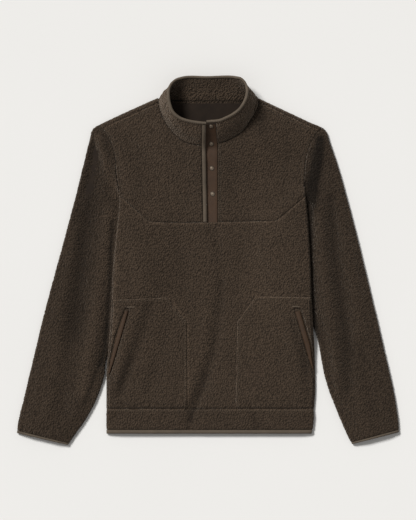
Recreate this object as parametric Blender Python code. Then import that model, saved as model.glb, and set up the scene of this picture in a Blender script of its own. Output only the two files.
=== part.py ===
"""Fleece pullover with a stand collar and a half placket, lying flat on its back, front up.

+X runs to the right and +Y to the collar as seen from above, and +Z up from the surface that it
lies on. Sizes and tables are in millimetres, and become metres when a mesh is made. In names,
"l" is the side at -X and "r" the side at +X.
"""

import math

import bmesh
import bpy
import numpy as np
from mathutils import Vector
from mathutils.geometry import delaunay_2d_cdt

MM = 0.001

# Cloth
WALL = 4.2  # fleece with its pile
GAP = 0.3  # between pieces at a seam
ARMHOLE_GAP = 1.0  # measured level, so less across the slanted seam
FACE_GAP = 0.7  # between front and back
AIR = 2.2  # between front and back where the body lies loose
POCKET_WALL = 3.2
TAPE_WALL = 2.0
WELT_WALL = 2.6

# Body
HEM_Y = -362.7
HEM_BINDING = 8.0  # width of the binding
BAND_TOP_Y = -310.0
SIDE_ROUND = 9.0  # how far in the side folds round over
SIDE_WAYS = (0.0, 1.6, 4.6, SIDE_ROUND)  # where that rounding has points
AIR_RAMP = 30.0  # how far in from the side front and back come apart
SIDE_EDGE = 1.7  # half thickness at the side fold itself
ARM_EDGE = 3.4  # half thickness at the armhole seam
ARM_Y = 118.0  # where the side fold passes into the armhole, and over how much
ARM_RAMP = 30.0
SHOULDER_SLOPE = math.radians(24.5)
SHOULDER_TURN_L = 9.6  # how far the back comes forward over the shoulder
SHOULDER_TURN_R = 6.6
SHOULDER_ANGLES = (-50.0, -22.0, 0.0, 22.0, 50.0, 90.0)  # round the shoulder fold, from below
ARMHOLE_POINTS_Y = (270.0, 255.0, 238.0, 222.0, 204.0, 186.0, 170.0, 154.0, 138.0)

# Sleeves
SLEEVE_FLAT = 9.2  # thickness where the body lies on a sleeve
SLEEVE_CROWN = 4.0  # how much thicker it is beside the body
SLEEVE_ROUND = 7.0
CUFF_BINDING = 5.2
SLEEVE_LENGTH = 655.0  # along the middle, from cuff to armhole
RISE = SLEEVE_FLAT + GAP  # how far the body is lifted where it lies on a sleeve

# Neck
NECK_CENTRE = (0.0, 330.0)
NECK_LIFT = 12.5  # how far the front is lifted off the back at the middle of the neck seam
NECK_REACH = 215.0  # how far from the centre that lift ends, and over how much it falls
NECK_RAMP = 125.0
NECK_OVAL = 1.05
SHOULDER_Y = 350.0  # it falls again towards the shoulders
SHOULDER_RAMP = 95.0
COLLAR_BULGE = 3.0
BINDING_WIDTH = 6.4
BINDING_HEIGHT = 5.6

# Placket
PLACKET_LIFT = 4.0  # how far the upper side lies above the under side
PLACKET_X = -9.0  # middle of the bound edge, and how far the lift spreads
PLACKET_SPREAD = 42.0
PLACKET_FADE = 45.0  # how far below the yoke seam the lift ends, and over how much
PLACKET_RAMP = 60.0
PLACKET_FOOT_X = -10.9  # end of the yoke seam at the upper side
PLACKET_BINDING_WIDTH = 9.0
PLACKET_BINDING_HEIGHT = 4.8
YOKE_Y = 81.5
UNDER_EDGE_X = 20.0
TAPE_SINK = 1.1  # how far the tape's middle lies below that of the fleece
TAPE_LEFT_X = -11.5
TAPE_FLAT_Y = (YOKE_Y + 2.4, 110.0, 140.0, 170.0, 200.0, 222.0, 238.0)
TAPE_RISE = (0.18, 0.38, 0.6, 0.8, 0.93)  # shares of the way up the collar
STAND_RISE = (0.12, 0.3, 0.5, 0.7, 0.84)  # and those of the bound edge
SNAP_RADIUS = 4.8
SNAP_HEIGHT = 2.0
SNAP_SIDES = 18

# Steps between points of the meshes
PANEL_STEP = 21.0
ARMHOLE_STEP = 12.0

# The body's side edges and armholes.
BODY_SIDES = (
    # y, left x, right x
    (-362.7, -213.0, 217.5),
    (-345.0, -213.2, 221.0),
    (-310.0, -213.2, 222.5),
    (-280.0, -213.0, 224.7),
    (-233.0, -212.7, 224.7),
    (-187.0, -209.4, 223.4),
    (-113.0, -204.4, 218.8),
    (-76.0, -202.0, 216.9),
    (0.0, -198.5, 214.2),
    (70.0, -191.5, 210.0),
    (110.0, -187.5, 206.8),
    (140.0, -186.4, 204.3),
    (160.0, -189.5, 202.2),
    (186.0, -193.2, 203.7),
    (222.0, -195.3, 207.8),
    (255.0, -206.5, 220.0),
    (270.0, -217.0, 231.0),
    (286.0, -227.2, 244.0),
)

# Where the body lies on the sleeves: the sleeve's inner edge, and the share of the full lift.
TUCK_L = (
    # y, inner edge x, lift
    (-300.0, -239.0, 0.0),
    (-262.0, -223.0, 0.25),
    (-232.0, -217.0, 0.75),
    (-212.0, -214.6, 1.0),
    (-195.0, -210.0, 1.0),
    (-158.0, -197.0, 1.0),
    (-105.0, -178.0, 1.0),
    (-55.0, -160.0, 1.0),
    (-5.0, -146.0, 1.0),
    (38.0, -143.0, 1.0),
    (68.0, -150.0, 1.0),
    (92.0, -161.0, 1.0),
    (108.0, -170.0, 1.0),
    (136.0, -187.0, 1.0),
    (155.0, -189.0, 0.6),
    (175.0, -191.0, 0.25),
    (205.0, -194.0, 0.0),
)
TUCK_R = (
    # y, inner edge x, lift
    (-240.0, 244.0, 0.0),
    (-200.0, 236.0, 0.3),
    (-165.0, 229.0, 0.85),
    (-140.0, 221.5, 1.0),
    (-105.0, 206.0, 1.0),
    (-55.0, 186.0, 1.0),
    (-5.0, 168.0, 1.0),
    (38.0, 160.0, 1.0),
    (68.0, 168.0, 1.0),
    (92.0, 180.0, 1.0),
    (108.0, 189.0, 1.0),
    (136.0, 204.5, 1.0),
    (155.0, 202.6, 0.6),
    (175.0, 203.0, 0.25),
    (205.0, 206.0, 0.0),
)
TUCK_MARGIN = 8.0  # kept at full lift past the sleeve's edge
TUCK_RAMP = 46.0  # over how much the back comes down again beside a sleeve
FRONT_RAMP = 95.0  # and the front, which bridges it

# Sleeve edges from cuff to armhole.
SLEEVE_OUTER_L = (
    # x, y
    (-400.9, -361.5),
    (-400.2, -352.0),
    (-385.4, -285.0),
    (-365.4, -201.0),
    (-345.2, -117.0),
    (-323.0, -33.0),
    (-300.1, 51.0),
    (-277.8, 135.0),
    (-261.2, 202.2),
    (-248.6, 252.6),
    (-240.9, 277.0),
    (-227.4, 286.0),
)
SLEEVE_INNER_L = (
    # x, y
    (-293.8, -386.6),
    (-282.0, -369.0),
    (-258.3, -335.4),
    (-239.2, -301.8),
    (-225.5, -268.2),
    (-218.6, -246.0),
    (-214.8, -214.0),
    (-210.0, -195.0),
    (-197.0, -158.0),
    (-178.0, -105.0),
    (-160.0, -55.0),
    (-146.0, -5.0),
    (-143.0, 38.0),
    (-150.0, 68.0),
    (-161.0, 92.0),
    (-170.0, 108.0),
)
ARMHOLE_END_L = (
    # x, y
    (-183.5, 126.0),
    (-170.0, 108.0),
)
SLEEVE_OUTER_R = (
    # x, y
    (400.9, -359.5),
    (400.4, -350.0),
    (391.4, -285.0),
    (372.8, -201.0),
    (353.2, -117.0),
    (332.9, -33.0),
    (312.5, 51.0),
    (290.4, 135.0),
    (271.3, 202.2),
    (254.3, 252.6),
    (248.2, 270.5),
    (240.5, 280.2),
)
SLEEVE_INNER_R = (
    # x, y
    (302.4, -384.7),
    (294.0, -369.0),
    (279.0, -335.4),
    (265.4, -301.8),
    (252.4, -268.2),
    (244.4, -240.0),
    (238.8, -211.9),
    (228.3, -159.4),
    (221.8, -141.0),
    (206.0, -105.0),
    (186.0, -55.0),
    (168.0, -5.0),
    (160.0, 38.0),
    (168.0, 68.0),
    (180.0, 92.0),
    (189.0, 108.0),
)
ARMHOLE_END_R = (
    # x, y
    (202.0, 126.0),
    (189.0, 108.0),
)

# Upper edge of the back as it lies: the shoulder folds, and the neck seam between them.
NECK_CORNER_L = -104.5
NECK_CORNER_R = 106.0
BACK_TOP = (
    # x, y
    (-231.0, 284.1),
    (-191.5, 303.0),
    (-136.0, 328.2),
    (-104.5, 342.0),
    (-98.0, 339.5),
    (-88.0, 335.2),
    (-76.0, 332.2),
    (-60.0, 331.4),
    (60.0, 331.4),
    (76.0, 332.2),
    (90.0, 335.2),
    (100.0, 339.0),
    (106.0, 341.0),
    (160.0, 315.6),
    (213.0, 290.6),
    (243.0, 278.6),
)

# The collar, from its left front end round the back to its right one. The layer is 1 where the
# seam is on the front and 0 where it is on the back.
COLLAR = (
    # seam x, seam y, layer, top x, top y, top z
    (-13.9, 241.2, 1.0, -12.5, 287.5, 58.0),
    (-30.0, 243.0, 1.0, -27.0, 289.2, 58.5),
    (-48.0, 248.5, 1.0, -45.0, 292.8, 59.5),
    (-69.0, 264.0, 1.0, -60.5, 298.8, 60.5),
    (-86.0, 285.0, 1.0, -73.0, 310.0, 61.0),
    (-97.5, 309.0, 1.0, -79.5, 325.5, 61.0),
    (-103.0, 329.0, 1.0, -82.5, 343.0, 59.0),
    (-101.0, 338.6, 0.5, -82.0, 357.0, 54.0),
    (-90.0, 335.6, 0.0, -77.5, 368.0, 46.0),
    (-76.0, 332.2, 0.0, -69.0, 376.8, 38.5),
    (-56.0, 331.4, 0.0, -55.0, 382.2, 33.0),
    (0.0, 331.4, 0.0, 0.0, 383.6, 30.0),
    (56.0, 331.4, 0.0, 58.0, 383.4, 33.0),
    (76.0, 332.2, 0.0, 70.0, 379.8, 38.5),
    (91.0, 335.6, 0.0, 77.5, 371.0, 46.0),
    (102.5, 338.2, 0.5, 81.2, 359.0, 54.0),
    (104.5, 328.0, 1.0, 80.8, 346.0, 59.0),
    (97.0, 309.0, 1.0, 75.6, 331.0, 61.0),
    (85.0, 289.5, 1.0, 65.0, 315.5, 61.0),
    (71.0, 271.0, 1.0, 50.5, 304.6, 60.5),
    (52.5, 258.5, 1.0, 35.5, 297.2, 59.5),
    (33.0, 249.0, 1.0, 25.0, 293.0, 58.5),
    (20.2, 245.0, 1.0, 16.8, 291.6, 57.0),
)
TAPE_TOP = (54.5, 289.5)  # z and y of the collar edge over the tape

# The yoke seam from the left armhole to the right one.
YOKE_SEAM = (
    # x, y
    (-186.2, 137.0),
    (-121.8, 82.0),
    (-60.0, 80.0),
    (20.0, 81.5),
    (143.9, 84.4),
    (204.6, 136.0),
)

# Pockets: the clipped corner, the bottom, and the slanted opening between its two lips.
POCKET_L_EDGE = ((-200.5, -81.0), (-86.1, -76.0), (-44.1, -128.5), (-43.2, -306.5))
POCKET_R_EDGE = ((215.6, -75.4), (98.7, -73.9), (59.9, -127.9), (56.6, -306.5))
SLIT_L = (
    # y, lip towards the side, lip towards the middle
    (-101.0, -173.6, -165.4),
    (-149.0, -190.9, -179.0),
    (-181.0, -199.2, -188.5),
    (-214.0, -206.6, -198.4),
    (-238.0, -210.5, -206.2),
)
SLIT_R = (
    # y, lip towards the side, lip towards the middle
    (-101.0, 194.2, 180.4),
    (-149.0, 208.4, 194.6),
    (-181.0, 217.4, 203.9),
    (-206.0, 219.4, 211.4),
    (-228.0, 222.6, 219.0),
)
POCKET_INSET = 3.2  # from the side fold
WELT_GAP = 0.7
POCKETS = (
    # name, side, edge, opening
    ("l", -1, POCKET_L_EDGE, SLIT_L),
    ("r", 1, POCKET_R_EDGE, SLIT_R),
)

SNAPS = (
    # x, y
    (6.3, 281.4),
    (6.9, 245.3),
    (8.0, 194.0),
    (9.5, 140.3),
)

# The largest folds: half width, height (a trough is below zero), and the points it runs through.
FRONT_FOLDS = (
    (15.0, -1.7, ((15, -95), (11, -190), (-9, -260), (-27, -303), (-31, -345))),
    (14.0, -1.4, ((-145, -110), (-147, -187), (-180, -270))),
    (11.0, 1.2, ((-168, -140), (-192, -240))),
    (22.0, 1.2, ((-90, -150), (-88, -290))),
    (24.0, 1.0, ((95, -160), (90, -280))),
    (20.0, 0.9, ((-120, 60), (-105, -40))),
    (22.0, 0.9, ((120, 70), (125, -30))),
)
SLEEVE_FOLDS = (
    (12.0, 3.4, ((-230, 268), (-213, 215), (-204, 165))),
    (16.0, -2.6, ((-241, 250), (-243, 205), (-250, 160))),
    (17.0, -1.8, ((-254, 90), (-275, -125))),
    (16.0, 1.4, ((-240, 20), (-243, -70))),
    (18.0, -1.5, ((-330, -230), (-300, -320))),
    (12.0, 3.6, ((236, 262), (226, 226), (217, 180))),
    (14.0, -3.0, ((246, 245), (240, 190), (228, 135))),
    (15.0, -2.0, ((256, 86), (271, -36), (288, -110), (293, -181), (284, -265))),
    (18.0, 1.4, ((300, 40), (318, -70))),
    (18.0, 1.2, ((330, -200), (345, -300))),
)

# Colours as linear values
FLEECE = (0.045, 0.032, 0.022)
BINDING = (0.085, 0.063, 0.045)
TAPE = (0.070, 0.042, 0.027)
BRONZE = (0.16, 0.10, 0.065)


def material(name, colour, roughness, metallic=0.0):
    made = bpy.data.materials.new(name)
    made.use_nodes = True
    shader = made.node_tree.nodes["Principled BSDF"]
    shader.inputs["Base Color"].default_value = (*colour, 1.0)
    shader.inputs["Roughness"].default_value = roughness
    shader.inputs["Metallic"].default_value = metallic
    return made


def smoothstep(value):
    t = np.clip(value, 0.0, 1.0)
    return t * t * (3.0 - 2.0 * t)


def read(table, column, at):
    """One column of a table at a value of its first column, on a smooth curve through the rows."""
    rows = np.array(table, float)
    xs, ys = rows[:, 0], rows[:, column]
    slopes = np.gradient(ys, xs)
    at = np.clip(at, xs[0], xs[-1])
    k = np.clip(np.searchsorted(xs, at) - 1, 0, len(xs) - 2)
    step = xs[k + 1] - xs[k]
    t = (at - xs[k]) / step
    return (
        ys[k] * (1 + 2 * t) * (1 - t) ** 2
        + ys[k + 1] * (3 - 2 * t) * t**2
        + slopes[k] * step * t * (1 - t) ** 2
        - slopes[k + 1] * step * (1 - t) * t**2
    )


def shares(points):
    """How far along its line each point lies, from 0 to 1."""
    steps = np.linalg.norm(np.diff(points, axis=0), axis=1)
    return np.concatenate([[0.0], np.cumsum(steps)]) / steps.sum()


def curve(points, at):
    """Points at the given shares of a smooth curve's length."""
    rows = np.column_stack([shares(np.array(points, float)), np.array(points, float)])
    fine = np.linspace(0.0, 1.0, 400)
    dense = np.column_stack([read(rows, c, fine) for c in range(1, rows.shape[1])])
    length = shares(dense)
    return np.column_stack([np.interp(at, length, column) for column in dense.T])


def polyline(points, at):
    """Points at the given shares of a line with corners."""
    points = np.array(points, float)
    length = shares(points)
    return np.column_stack([np.interp(at, length, column) for column in points.T])


def left_x(y):
    return read(BODY_SIDES, 1, y)


def right_x(y):
    return read(BODY_SIDES, 2, y)


def side_distance(x, y):
    return np.minimum(x - left_x(y), right_x(y) - x)


def folds(rows, x, y):
    """Height of the soft folds at a place."""
    total = np.zeros(np.broadcast(x, y).shape)
    for width, height, points in rows:
        nearest = np.full(total.shape, np.inf)
        for (x0, y0), (x1, y1) in zip(points[:-1], points[1:]):
            dx, dy = x1 - x0, y1 - y0
            t = np.clip(((x - x0) * dx + (y - y0) * dy) / (dx * dx + dy * dy), 0.0, 1.0)
            nearest = np.minimum(nearest, np.hypot(x - x0 - t * dx, y - y0 - t * dy))
        total += height * np.exp(-((nearest / width) ** 2))
    return total


def lift(x, y, ramp):
    """How far the sleeves under the body's sides lift it, with the given ramp beside them."""
    edge_l = np.maximum(read(TUCK_L, 1, y), left_x(y)) + TUCK_MARGIN
    edge_r = np.minimum(read(TUCK_R, 1, y), right_x(y)) - TUCK_MARGIN
    from_l = read(TUCK_L, 2, y) * smoothstep((edge_l + ramp - x) / ramp)
    from_r = read(TUCK_R, 2, y) * smoothstep((x - edge_r + ramp) / ramp)
    return RISE * np.clip(np.maximum(from_l, from_r), 0.0, 1.0)


def neck_lift(x, y):
    """How far the standing collar lifts the front round the neck."""
    reach = np.hypot(x - NECK_CENTRE[0], (y - NECK_CENTRE[1]) * NECK_OVAL)
    near = smoothstep((NECK_REACH - reach) / NECK_RAMP)
    return NECK_LIFT * near * smoothstep((SHOULDER_Y - y) / SHOULDER_RAMP)


def placket_lift(x, y):
    """The upper side of the placket lies on the under side."""
    across = np.exp(-(((x - PLACKET_X) / PLACKET_SPREAD) ** 2))
    up = smoothstep((y - YOKE_Y + PLACKET_FADE) / PLACKET_RAMP)
    return np.where(x < 0.0, PLACKET_LIFT * across, 0.0) * up


def body(x, y):
    """Heights of the back's lower and upper face, then of the front's lower and upper face."""
    side = side_distance(x, y)
    base = lift(x, y, TUCK_RAMP)
    loose = AIR + folds(FRONT_FOLDS, x, y) + neck_lift(x, y) + placket_lift(x, y)
    loose = loose + lift(x, y, FRONT_RAMP) - base
    air = loose * smoothstep(side / AIR_RAMP)
    half = WALL + FACE_GAP / 2 + air / 2
    middle = base + half
    edge = SIDE_EDGE + (ARM_EDGE - SIDE_EDGE) * smoothstep((y - ARM_Y) / ARM_RAMP)
    turn = 1.0 - np.clip(side / SIDE_ROUND, 0.0, 1.0)
    outer = edge + (half - edge) * np.sqrt(1.0 - turn**2)
    inner = FACE_GAP / 2 + air / 2
    return middle - outer, middle - inner, middle + inner, middle + outer


def front_top(x, y):
    return body(x, y)[3]


def front_under(x, y):
    return body(x, y)[2]


def front_middle(x, y):
    return (body(x, y)[2] + body(x, y)[3]) / 2


def back_middle(x, y):
    return (body(x, y)[0] + body(x, y)[1]) / 2


def put(name, vertices, faces, surface):
    """A closed object from points in millimetres, with its faces turned outwards."""
    mesh = bpy.data.meshes.new(name)
    built = bmesh.new()
    made = [built.verts.new(np.asarray(v, float) * MM) for v in vertices]
    for face in faces:
        built.faces.new([made[i] for i in face])
    bmesh.ops.recalc_face_normals(built, faces=built.faces)
    built.to_mesh(mesh)
    if built.calc_volume(signed=True) < 0:
        mesh.flip_normals()
    built.free()
    mesh.materials.append(surface)
    mesh.shade_smooth()
    mesh.set_sharp_from_angle(angle=math.radians(50))
    made_object = bpy.data.objects.new(name, mesh)
    bpy.context.scene.collection.objects.link(made_object)
    return made_object


def walled(upper, lower, faces):
    """The faces of two like sheets and of the walls along their open edges."""
    count = len(upper)
    used = {}
    for face in faces:
        for a, b in zip(face, face[1:] + face[:1]):
            used[frozenset((a, b))] = None if frozenset((a, b)) in used else (a, b)
    walls = [(b, a, a + count, b + count) for a, b in filter(None, used.values())]
    turned = [tuple(i + count for i in reversed(face)) for face in faces]
    return np.vstack([upper, lower]), list(faces) + turned + walls


def distance_to_loop(points, loop):
    nearest = np.full(len(points), np.inf)
    for a, b in zip(loop, np.roll(loop, -1, axis=0)):
        run = b - a
        t = np.clip(((points - a) @ run) / max(run @ run, 1e-9), 0.0, 1.0)
        nearest = np.minimum(nearest, np.linalg.norm(points - a - t[:, None] * run, axis=1))
    return nearest


def inside_loop(points, loop):
    inside = np.zeros(len(points), bool)
    for a, b in zip(loop, np.roll(loop, -1, axis=0)):
        crosses = (a[1] > points[:, 1]) != (b[1] > points[:, 1])
        rise = b[1] - a[1] if b[1] != a[1] else 1e-9
        inside ^= crosses & (points[:, 0] < (b[0] - a[0]) * (points[:, 1] - a[1]) / rise + a[0])
    return inside


def lay_out(loop, step, rows=(), clear=0.5, marked=()):
    """Points and triangles of a flat layout inside a loop. Marked loops inside it get edges too."""
    loops = [np.asarray(each, float) for each in (loop, *marked)]
    low, high = loops[0].min(axis=0), loops[0].max(axis=0)
    across, up = [np.arange(low[i] + step / 2, high[i], step) for i in (0, 1)]
    grid = np.stack(np.meshgrid(across, up), axis=-1).reshape(-1, 2)
    grid = grid[inside_loop(grid, loops[0]) & (distance_to_loop(grid, loops[0]) > clear * step)]
    extra = np.array(rows, float).reshape(-1, 2)
    extra = extra[inside_loop(extra, loops[0]) & (distance_to_loop(extra, loops[0]) > 1.0)]
    for each in loops[1:]:
        grid = grid[distance_to_loop(grid, each) > 0.35 * step]
        extra = extra[distance_to_loop(extra, each) > 1.5]
    points, edges = [], []
    for each in loops:
        first = len(points)
        edges += [(first + i, first + (i + 1) % len(each)) for i in range(len(each))]
        points += [Vector(p) for p in each]
    points += [Vector(p) for p in np.vstack([extra, grid])]
    places, _, faces, _, _, _ = delaunay_2d_cdt(points, edges, [], 1, 1e-4)
    return np.array([tuple(p) for p in places]), [tuple(face) for face in faces]


def panel(name, layout, under, over, surface):
    """A cut piece that lies in plan over a layout, between two faces given by their heights."""
    (x, y), faces = layout[0].T, layout[1]
    used = sorted({i for face in faces for i in face})
    place = {old: new for new, old in enumerate(used)}
    faces = [tuple(place[i] for i in face) for face in faces]
    x, y = x[used], y[used]
    upper, lower = np.column_stack([x, y, over(x, y)]), np.column_stack([x, y, under(x, y)])
    put(name, *walled(upper, lower, faces), surface)


def slab(name, outer, inner, surface, kept=None):
    """A closed sheet between two like grids of points, of which only the kept cells are cloth."""
    rows, columns = outer.shape[:2]
    index = np.arange(rows * columns).reshape(rows, columns)
    faces = [
        (index[i, j], index[i, j + 1], index[i + 1, j + 1], index[i + 1, j])
        for i in range(rows - 1)
        for j in range(columns - 1)
        if kept is None or kept[i, j]
    ]
    vertices, faces = walled(outer.reshape(-1, 3), inner.reshape(-1, 3), faces)
    used = sorted({i for face in faces for i in face})
    place = {old: new for new, old in enumerate(used)}
    return put(name, vertices[used], [[place[i] for i in face] for face in faces], surface)


def tube(name, outer, inner, surface):
    """A closed wall between an outer and an inner run of rings, open at both ends."""
    rows, around = outer.shape[:2]
    index = np.arange(rows * around).reshape(rows, around)
    faces = []
    for i in range(rows - 1):
        for j in range(around):
            k = (j + 1) % around
            faces.append((index[i, j], index[i, k], index[i + 1, k], index[i + 1, j]))
    vertices, faces = walled(outer.reshape(-1, 3), inner.reshape(-1, 3), faces)
    return put(name, vertices, faces, surface)


def sweep(name, centres, across, up, width, height, surface, sides=8):
    """A bound edge: an oval section along a line, closed at both ends."""
    turns = np.arange(sides) / sides * math.tau + math.pi / sides
    outer = (
        centres[:, None]
        + across[:, None] * np.cos(turns)[None, :, None] * width / 2
        + up[:, None] * np.sin(turns)[None, :, None] * height / 2
    )
    rows = len(centres)
    index = np.arange(rows * sides).reshape(rows, sides)
    faces = [
        (index[i, j], index[i, (j + 1) % sides], index[i + 1, (j + 1) % sides], index[i + 1, j])
        for i in range(rows - 1)
        for j in range(sides)
    ]
    faces += [tuple(index[0]), tuple(reversed(index[-1]))]
    return put(name, outer.reshape(-1, 3), faces, surface)


def unit(vectors):
    return vectors / np.linalg.norm(vectors, axis=-1, keepdims=True)


def body_columns(y, count):
    """Places across the body: close together where the side folds round over."""
    near = np.array(SIDE_WAYS)
    wide = right_x(y) - left_x(y)
    middle = np.linspace(SIDE_ROUND + 8, wide - SIDE_ROUND - 8, count)
    return np.concatenate([near, middle, wide - near[::-1]])


def body_ring(name, lower_y, upper_y, count, steps, surface, proud=0.0):
    """A band of the hem: a flattened ring that goes round both side folds."""
    outer, inner = [], []
    for y in np.linspace(lower_y, upper_y, steps):
        x = left_x(y) + body_columns(y, count)
        under, _, _, over = body(x, np.full(len(x), y))
        middle = (under + over) / 2
        at_edge = np.zeros(len(x), bool)
        at_edge[[0, -1]] = True
        top = np.where(at_edge, middle, over + proud)
        bottom = np.where(at_edge, middle, np.maximum(under - proud, 0.0))
        ring_x = np.concatenate([x, x[-2:0:-1]])
        ring_z = np.concatenate([top, bottom[-2:0:-1]])
        outer.append(np.column_stack([ring_x, np.full(len(ring_x), y), ring_z]))
        inside_x = np.clip(x, x[0] + WALL, x[-1] - WALL)
        inside_x[1:3] = x[0] + WALL + np.array([0.8, 2.2])
        inside_x[-3:-1] = x[-1] - WALL - np.array([2.2, 0.8])
        _, back_up, front_low, _ = body(inside_x, np.full(len(x), y))
        inside_top = np.where(at_edge, middle, front_low)
        inside_bottom = np.where(at_edge, middle, back_up)
        ring_x = np.concatenate([inside_x, inside_x[-2:0:-1]])
        ring_z = np.concatenate([inside_top, inside_bottom[-2:0:-1]])
        inner.append(np.column_stack([ring_x, np.full(len(ring_x), y), ring_z]))
    return tube(name, np.array(outer), np.array(inner), surface)


def armhole(tip, edge, side, end):
    """The seam from the shoulder tip down the body's side, and on to its hidden end."""
    y = np.array(ARMHOLE_POINTS_Y)
    beside = np.column_stack([edge(y) + side * ARMHOLE_GAP, y])
    return np.vstack([tip, beside, end])


def sleeve_place(outer_edge, inner_edge, armhole, u, v):
    """A point across (u, from the outer edge) and along (v, from the cuff) a sleeve, in plan."""
    outer = curve(outer_edge, v)
    inner = curve(inner_edge, v)
    seam = curve(armhole, u)
    chord = seam[:1] + u[:, None] * (seam[-1:] - seam[:1])
    ruled = outer[:, None] * (1 - u[None, :, None]) + inner[:, None] * u[None, :, None]
    return ruled + (v**4)[:, None, None] * (seam - chord)[None]


def sleeve_heights(x, y, side, edge, from_seam):
    """Lower and upper face of a sleeve. edge is the way in from its own edges, side is -1 or 1."""
    if side < 0:
        clear = np.minimum(left_x(y), read(TUCK_L, 1, y)) - x
        lifted = read(TUCK_L, 2, y)
    else:
        clear = x - np.maximum(right_x(y), read(TUCK_R, 1, y))
        lifted = read(TUCK_R, 2, y)
    beside = smoothstep((clear - 2.0) / 30.0) * smoothstep((edge - 2.0) / 30.0)
    seam = smoothstep(1.0 - from_seam / 60.0)
    base = RISE * lifted * seam * smoothstep((y - 132.0) / 26.0)
    beside_seam = beside * smoothstep((from_seam + 6.0) / 22.0)
    thick = SLEEVE_FLAT + (SLEEVE_CROWN + folds(SLEEVE_FOLDS, x, y)) * beside_seam
    near_seam = np.clip(from_seam / 6.0, 0.0, 1.0)
    thick = thick - (SLEEVE_FLAT - 2 * ARM_EDGE) * (1 - near_seam) * smoothstep((y - 130.0) / 20.0)
    low = SLEEVE_FLAT / 2
    turn = np.sqrt(1.0 - (1.0 - np.clip(edge / SLEEVE_ROUND, 0.0, 1.0)) ** 2)
    return base + low * (1 - turn), base + low + (thick - low) * turn


def sleeve_part(name, side, edges, v, around, surface, proud=0.0):
    """A stretch of a sleeve between two shares of its length, as a flattened tube."""
    width = np.linalg.norm(curve(edges[0], v) - curve(edges[1], v), axis=1)
    near = np.array([0.0, 1.4, 3.8, SLEEVE_ROUND])
    outer, inner = [], []
    for row, wide in zip(v, width):
        middle = np.linspace(SLEEVE_ROUND + 9, wide - SLEEVE_ROUND - 9, around)
        ways = np.concatenate([near, middle, wide - near[::-1]])
        one = np.array([row])
        for rings, inset in ((outer, 0.0), (inner, WALL)):
            way = ways.copy()
            if inset:
                way[:4] = WALL + np.array([0.0, 0.9, 2.2, 4.6])
                way[-4:] = wide - way[:4][::-1]
            place = sleeve_place(*edges, way / wide, one)[0]
            x, y = place.T
            edge = np.minimum(way, wide - way)
            from_seam = np.full(len(x), (1.0 - row) * SLEEVE_LENGTH)
            low, high = sleeve_heights(x, y, side, edge, from_seam)
            if inset:
                full_low, full_high = sleeve_heights(x, y, side, edge + WALL, from_seam)
                room = np.clip((edge - WALL) / 4.6, 0.0, 1.0)
                centre = (full_low + full_high) / 2
                half = np.maximum((full_high - full_low) / 2 - WALL, 0.35) * room
                low, high = centre - half, centre + half
            else:
                high = high + proud * np.clip(edge / 3.0, 0.0, 1.0)
            ring_xy = np.vstack([place, place[-2:0:-1]])
            ring_z = np.concatenate([high, low[-2:0:-1]])
            rings.append(np.column_stack([ring_xy, ring_z]))
    return tube(name, np.array(outer), np.array(inner), surface)


def back(surface):
    """The back, with its upper edge turned over the shoulders."""
    edge_y = np.array([285.0])
    wide = (right_x(edge_y) - left_x(edge_y))[0]
    start = left_x(edge_y)[0]
    corner_l = (NECK_CORNER_L - start) / wide
    corner_r = (NECK_CORNER_R - start) / wide
    near = np.array(SIDE_WAYS) / wide
    share = np.concatenate(
        [
            near,
            np.linspace(near[-1], corner_l, 8)[1:],
            np.linspace(corner_l, corner_r, 13)[1:-1],
            np.linspace(corner_r, 1 - near[-1], 8)[:-1],
            1 - near[::-1],
        ]
    )
    tops = np.array(BACK_TOP, float)
    slope = math.cos(SHOULDER_SLOPE)

    def down_from_top(way):
        """Where each column is the given way in from the upper edge."""
        y = np.full(len(share), 310.0)
        for _ in range(60):
            x = left_x(y) + share * (right_x(y) - left_x(y))
            y = 0.5 * y + 0.5 * (np.interp(x, tops[:, 0], tops[:, 1]) - way / slope)
        return left_x(y) + share * (right_x(y) - left_x(y)), y

    shoulder = (share <= corner_l + 1e-6) | (share >= corner_r - 1e-6)
    turned = np.where(share < 0.5, SHOULDER_TURN_L, SHOULDER_TURN_R)
    bend = np.where(share < 0.5, SHOULDER_TURN_L - 0.6, SHOULDER_TURN_R - 0.6)
    outer, inner = [], []
    low_rows, high_rows = np.linspace(0.0, 0.68, 15), np.linspace(0.68, 1.0, 14)[1:]
    levels = np.concatenate([low_rows, high_rows])
    start_y = BAND_TOP_Y + GAP / 2
    last_y = down_from_top(bend)[1]
    for v in levels:
        y = start_y + v * (last_y - start_y)
        x = left_x(y) + share * (right_x(y) - left_x(y))
        low, high, _, _ = body(x, y)
        outer.append(np.column_stack([x, y, low]))
        inner.append(np.column_stack([x, y, high]))
    inside_bend = np.maximum(bend - WALL, 1.0)
    for turn, at_seam in [(each, False) for each in SHOULDER_ANGLES] + [(90.0, True)]:
        angle = math.radians(turn)
        way = turned - GAP / 2 if at_seam else bend * (1 - math.cos(angle))
        x, y = down_from_top(way)
        low, high, front_low, front_high = body(x, y)
        middle, half, room = (low + front_high) / 2, (front_high - low) / 2, (front_low - high) / 2
        outer_z = np.where(shoulder, middle + half * math.sin(angle), low)
        outer.append(np.column_stack([x, y, outer_z]))
        inside_way = way if at_seam else WALL + inside_bend * (1 - math.cos(angle))
        inside_x, inside_y = down_from_top(np.minimum(inside_way, turned - GAP / 2))
        inside_x = np.where(shoulder, inside_x, x)
        inside_y = np.where(shoulder, inside_y, y)
        inside_z = np.where(shoulder, middle + room * math.sin(angle), high)
        inner.append(np.column_stack([inside_x, inside_y, inside_z]))
    cells = np.ones((len(outer) - 1, len(share) - 1), bool)
    neck = ~(shoulder[:-1] & shoulder[1:])
    cells[len(levels) + 2 :, neck] = False
    return slab("back_panel", np.array(outer), np.array(inner), surface, cells)


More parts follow.
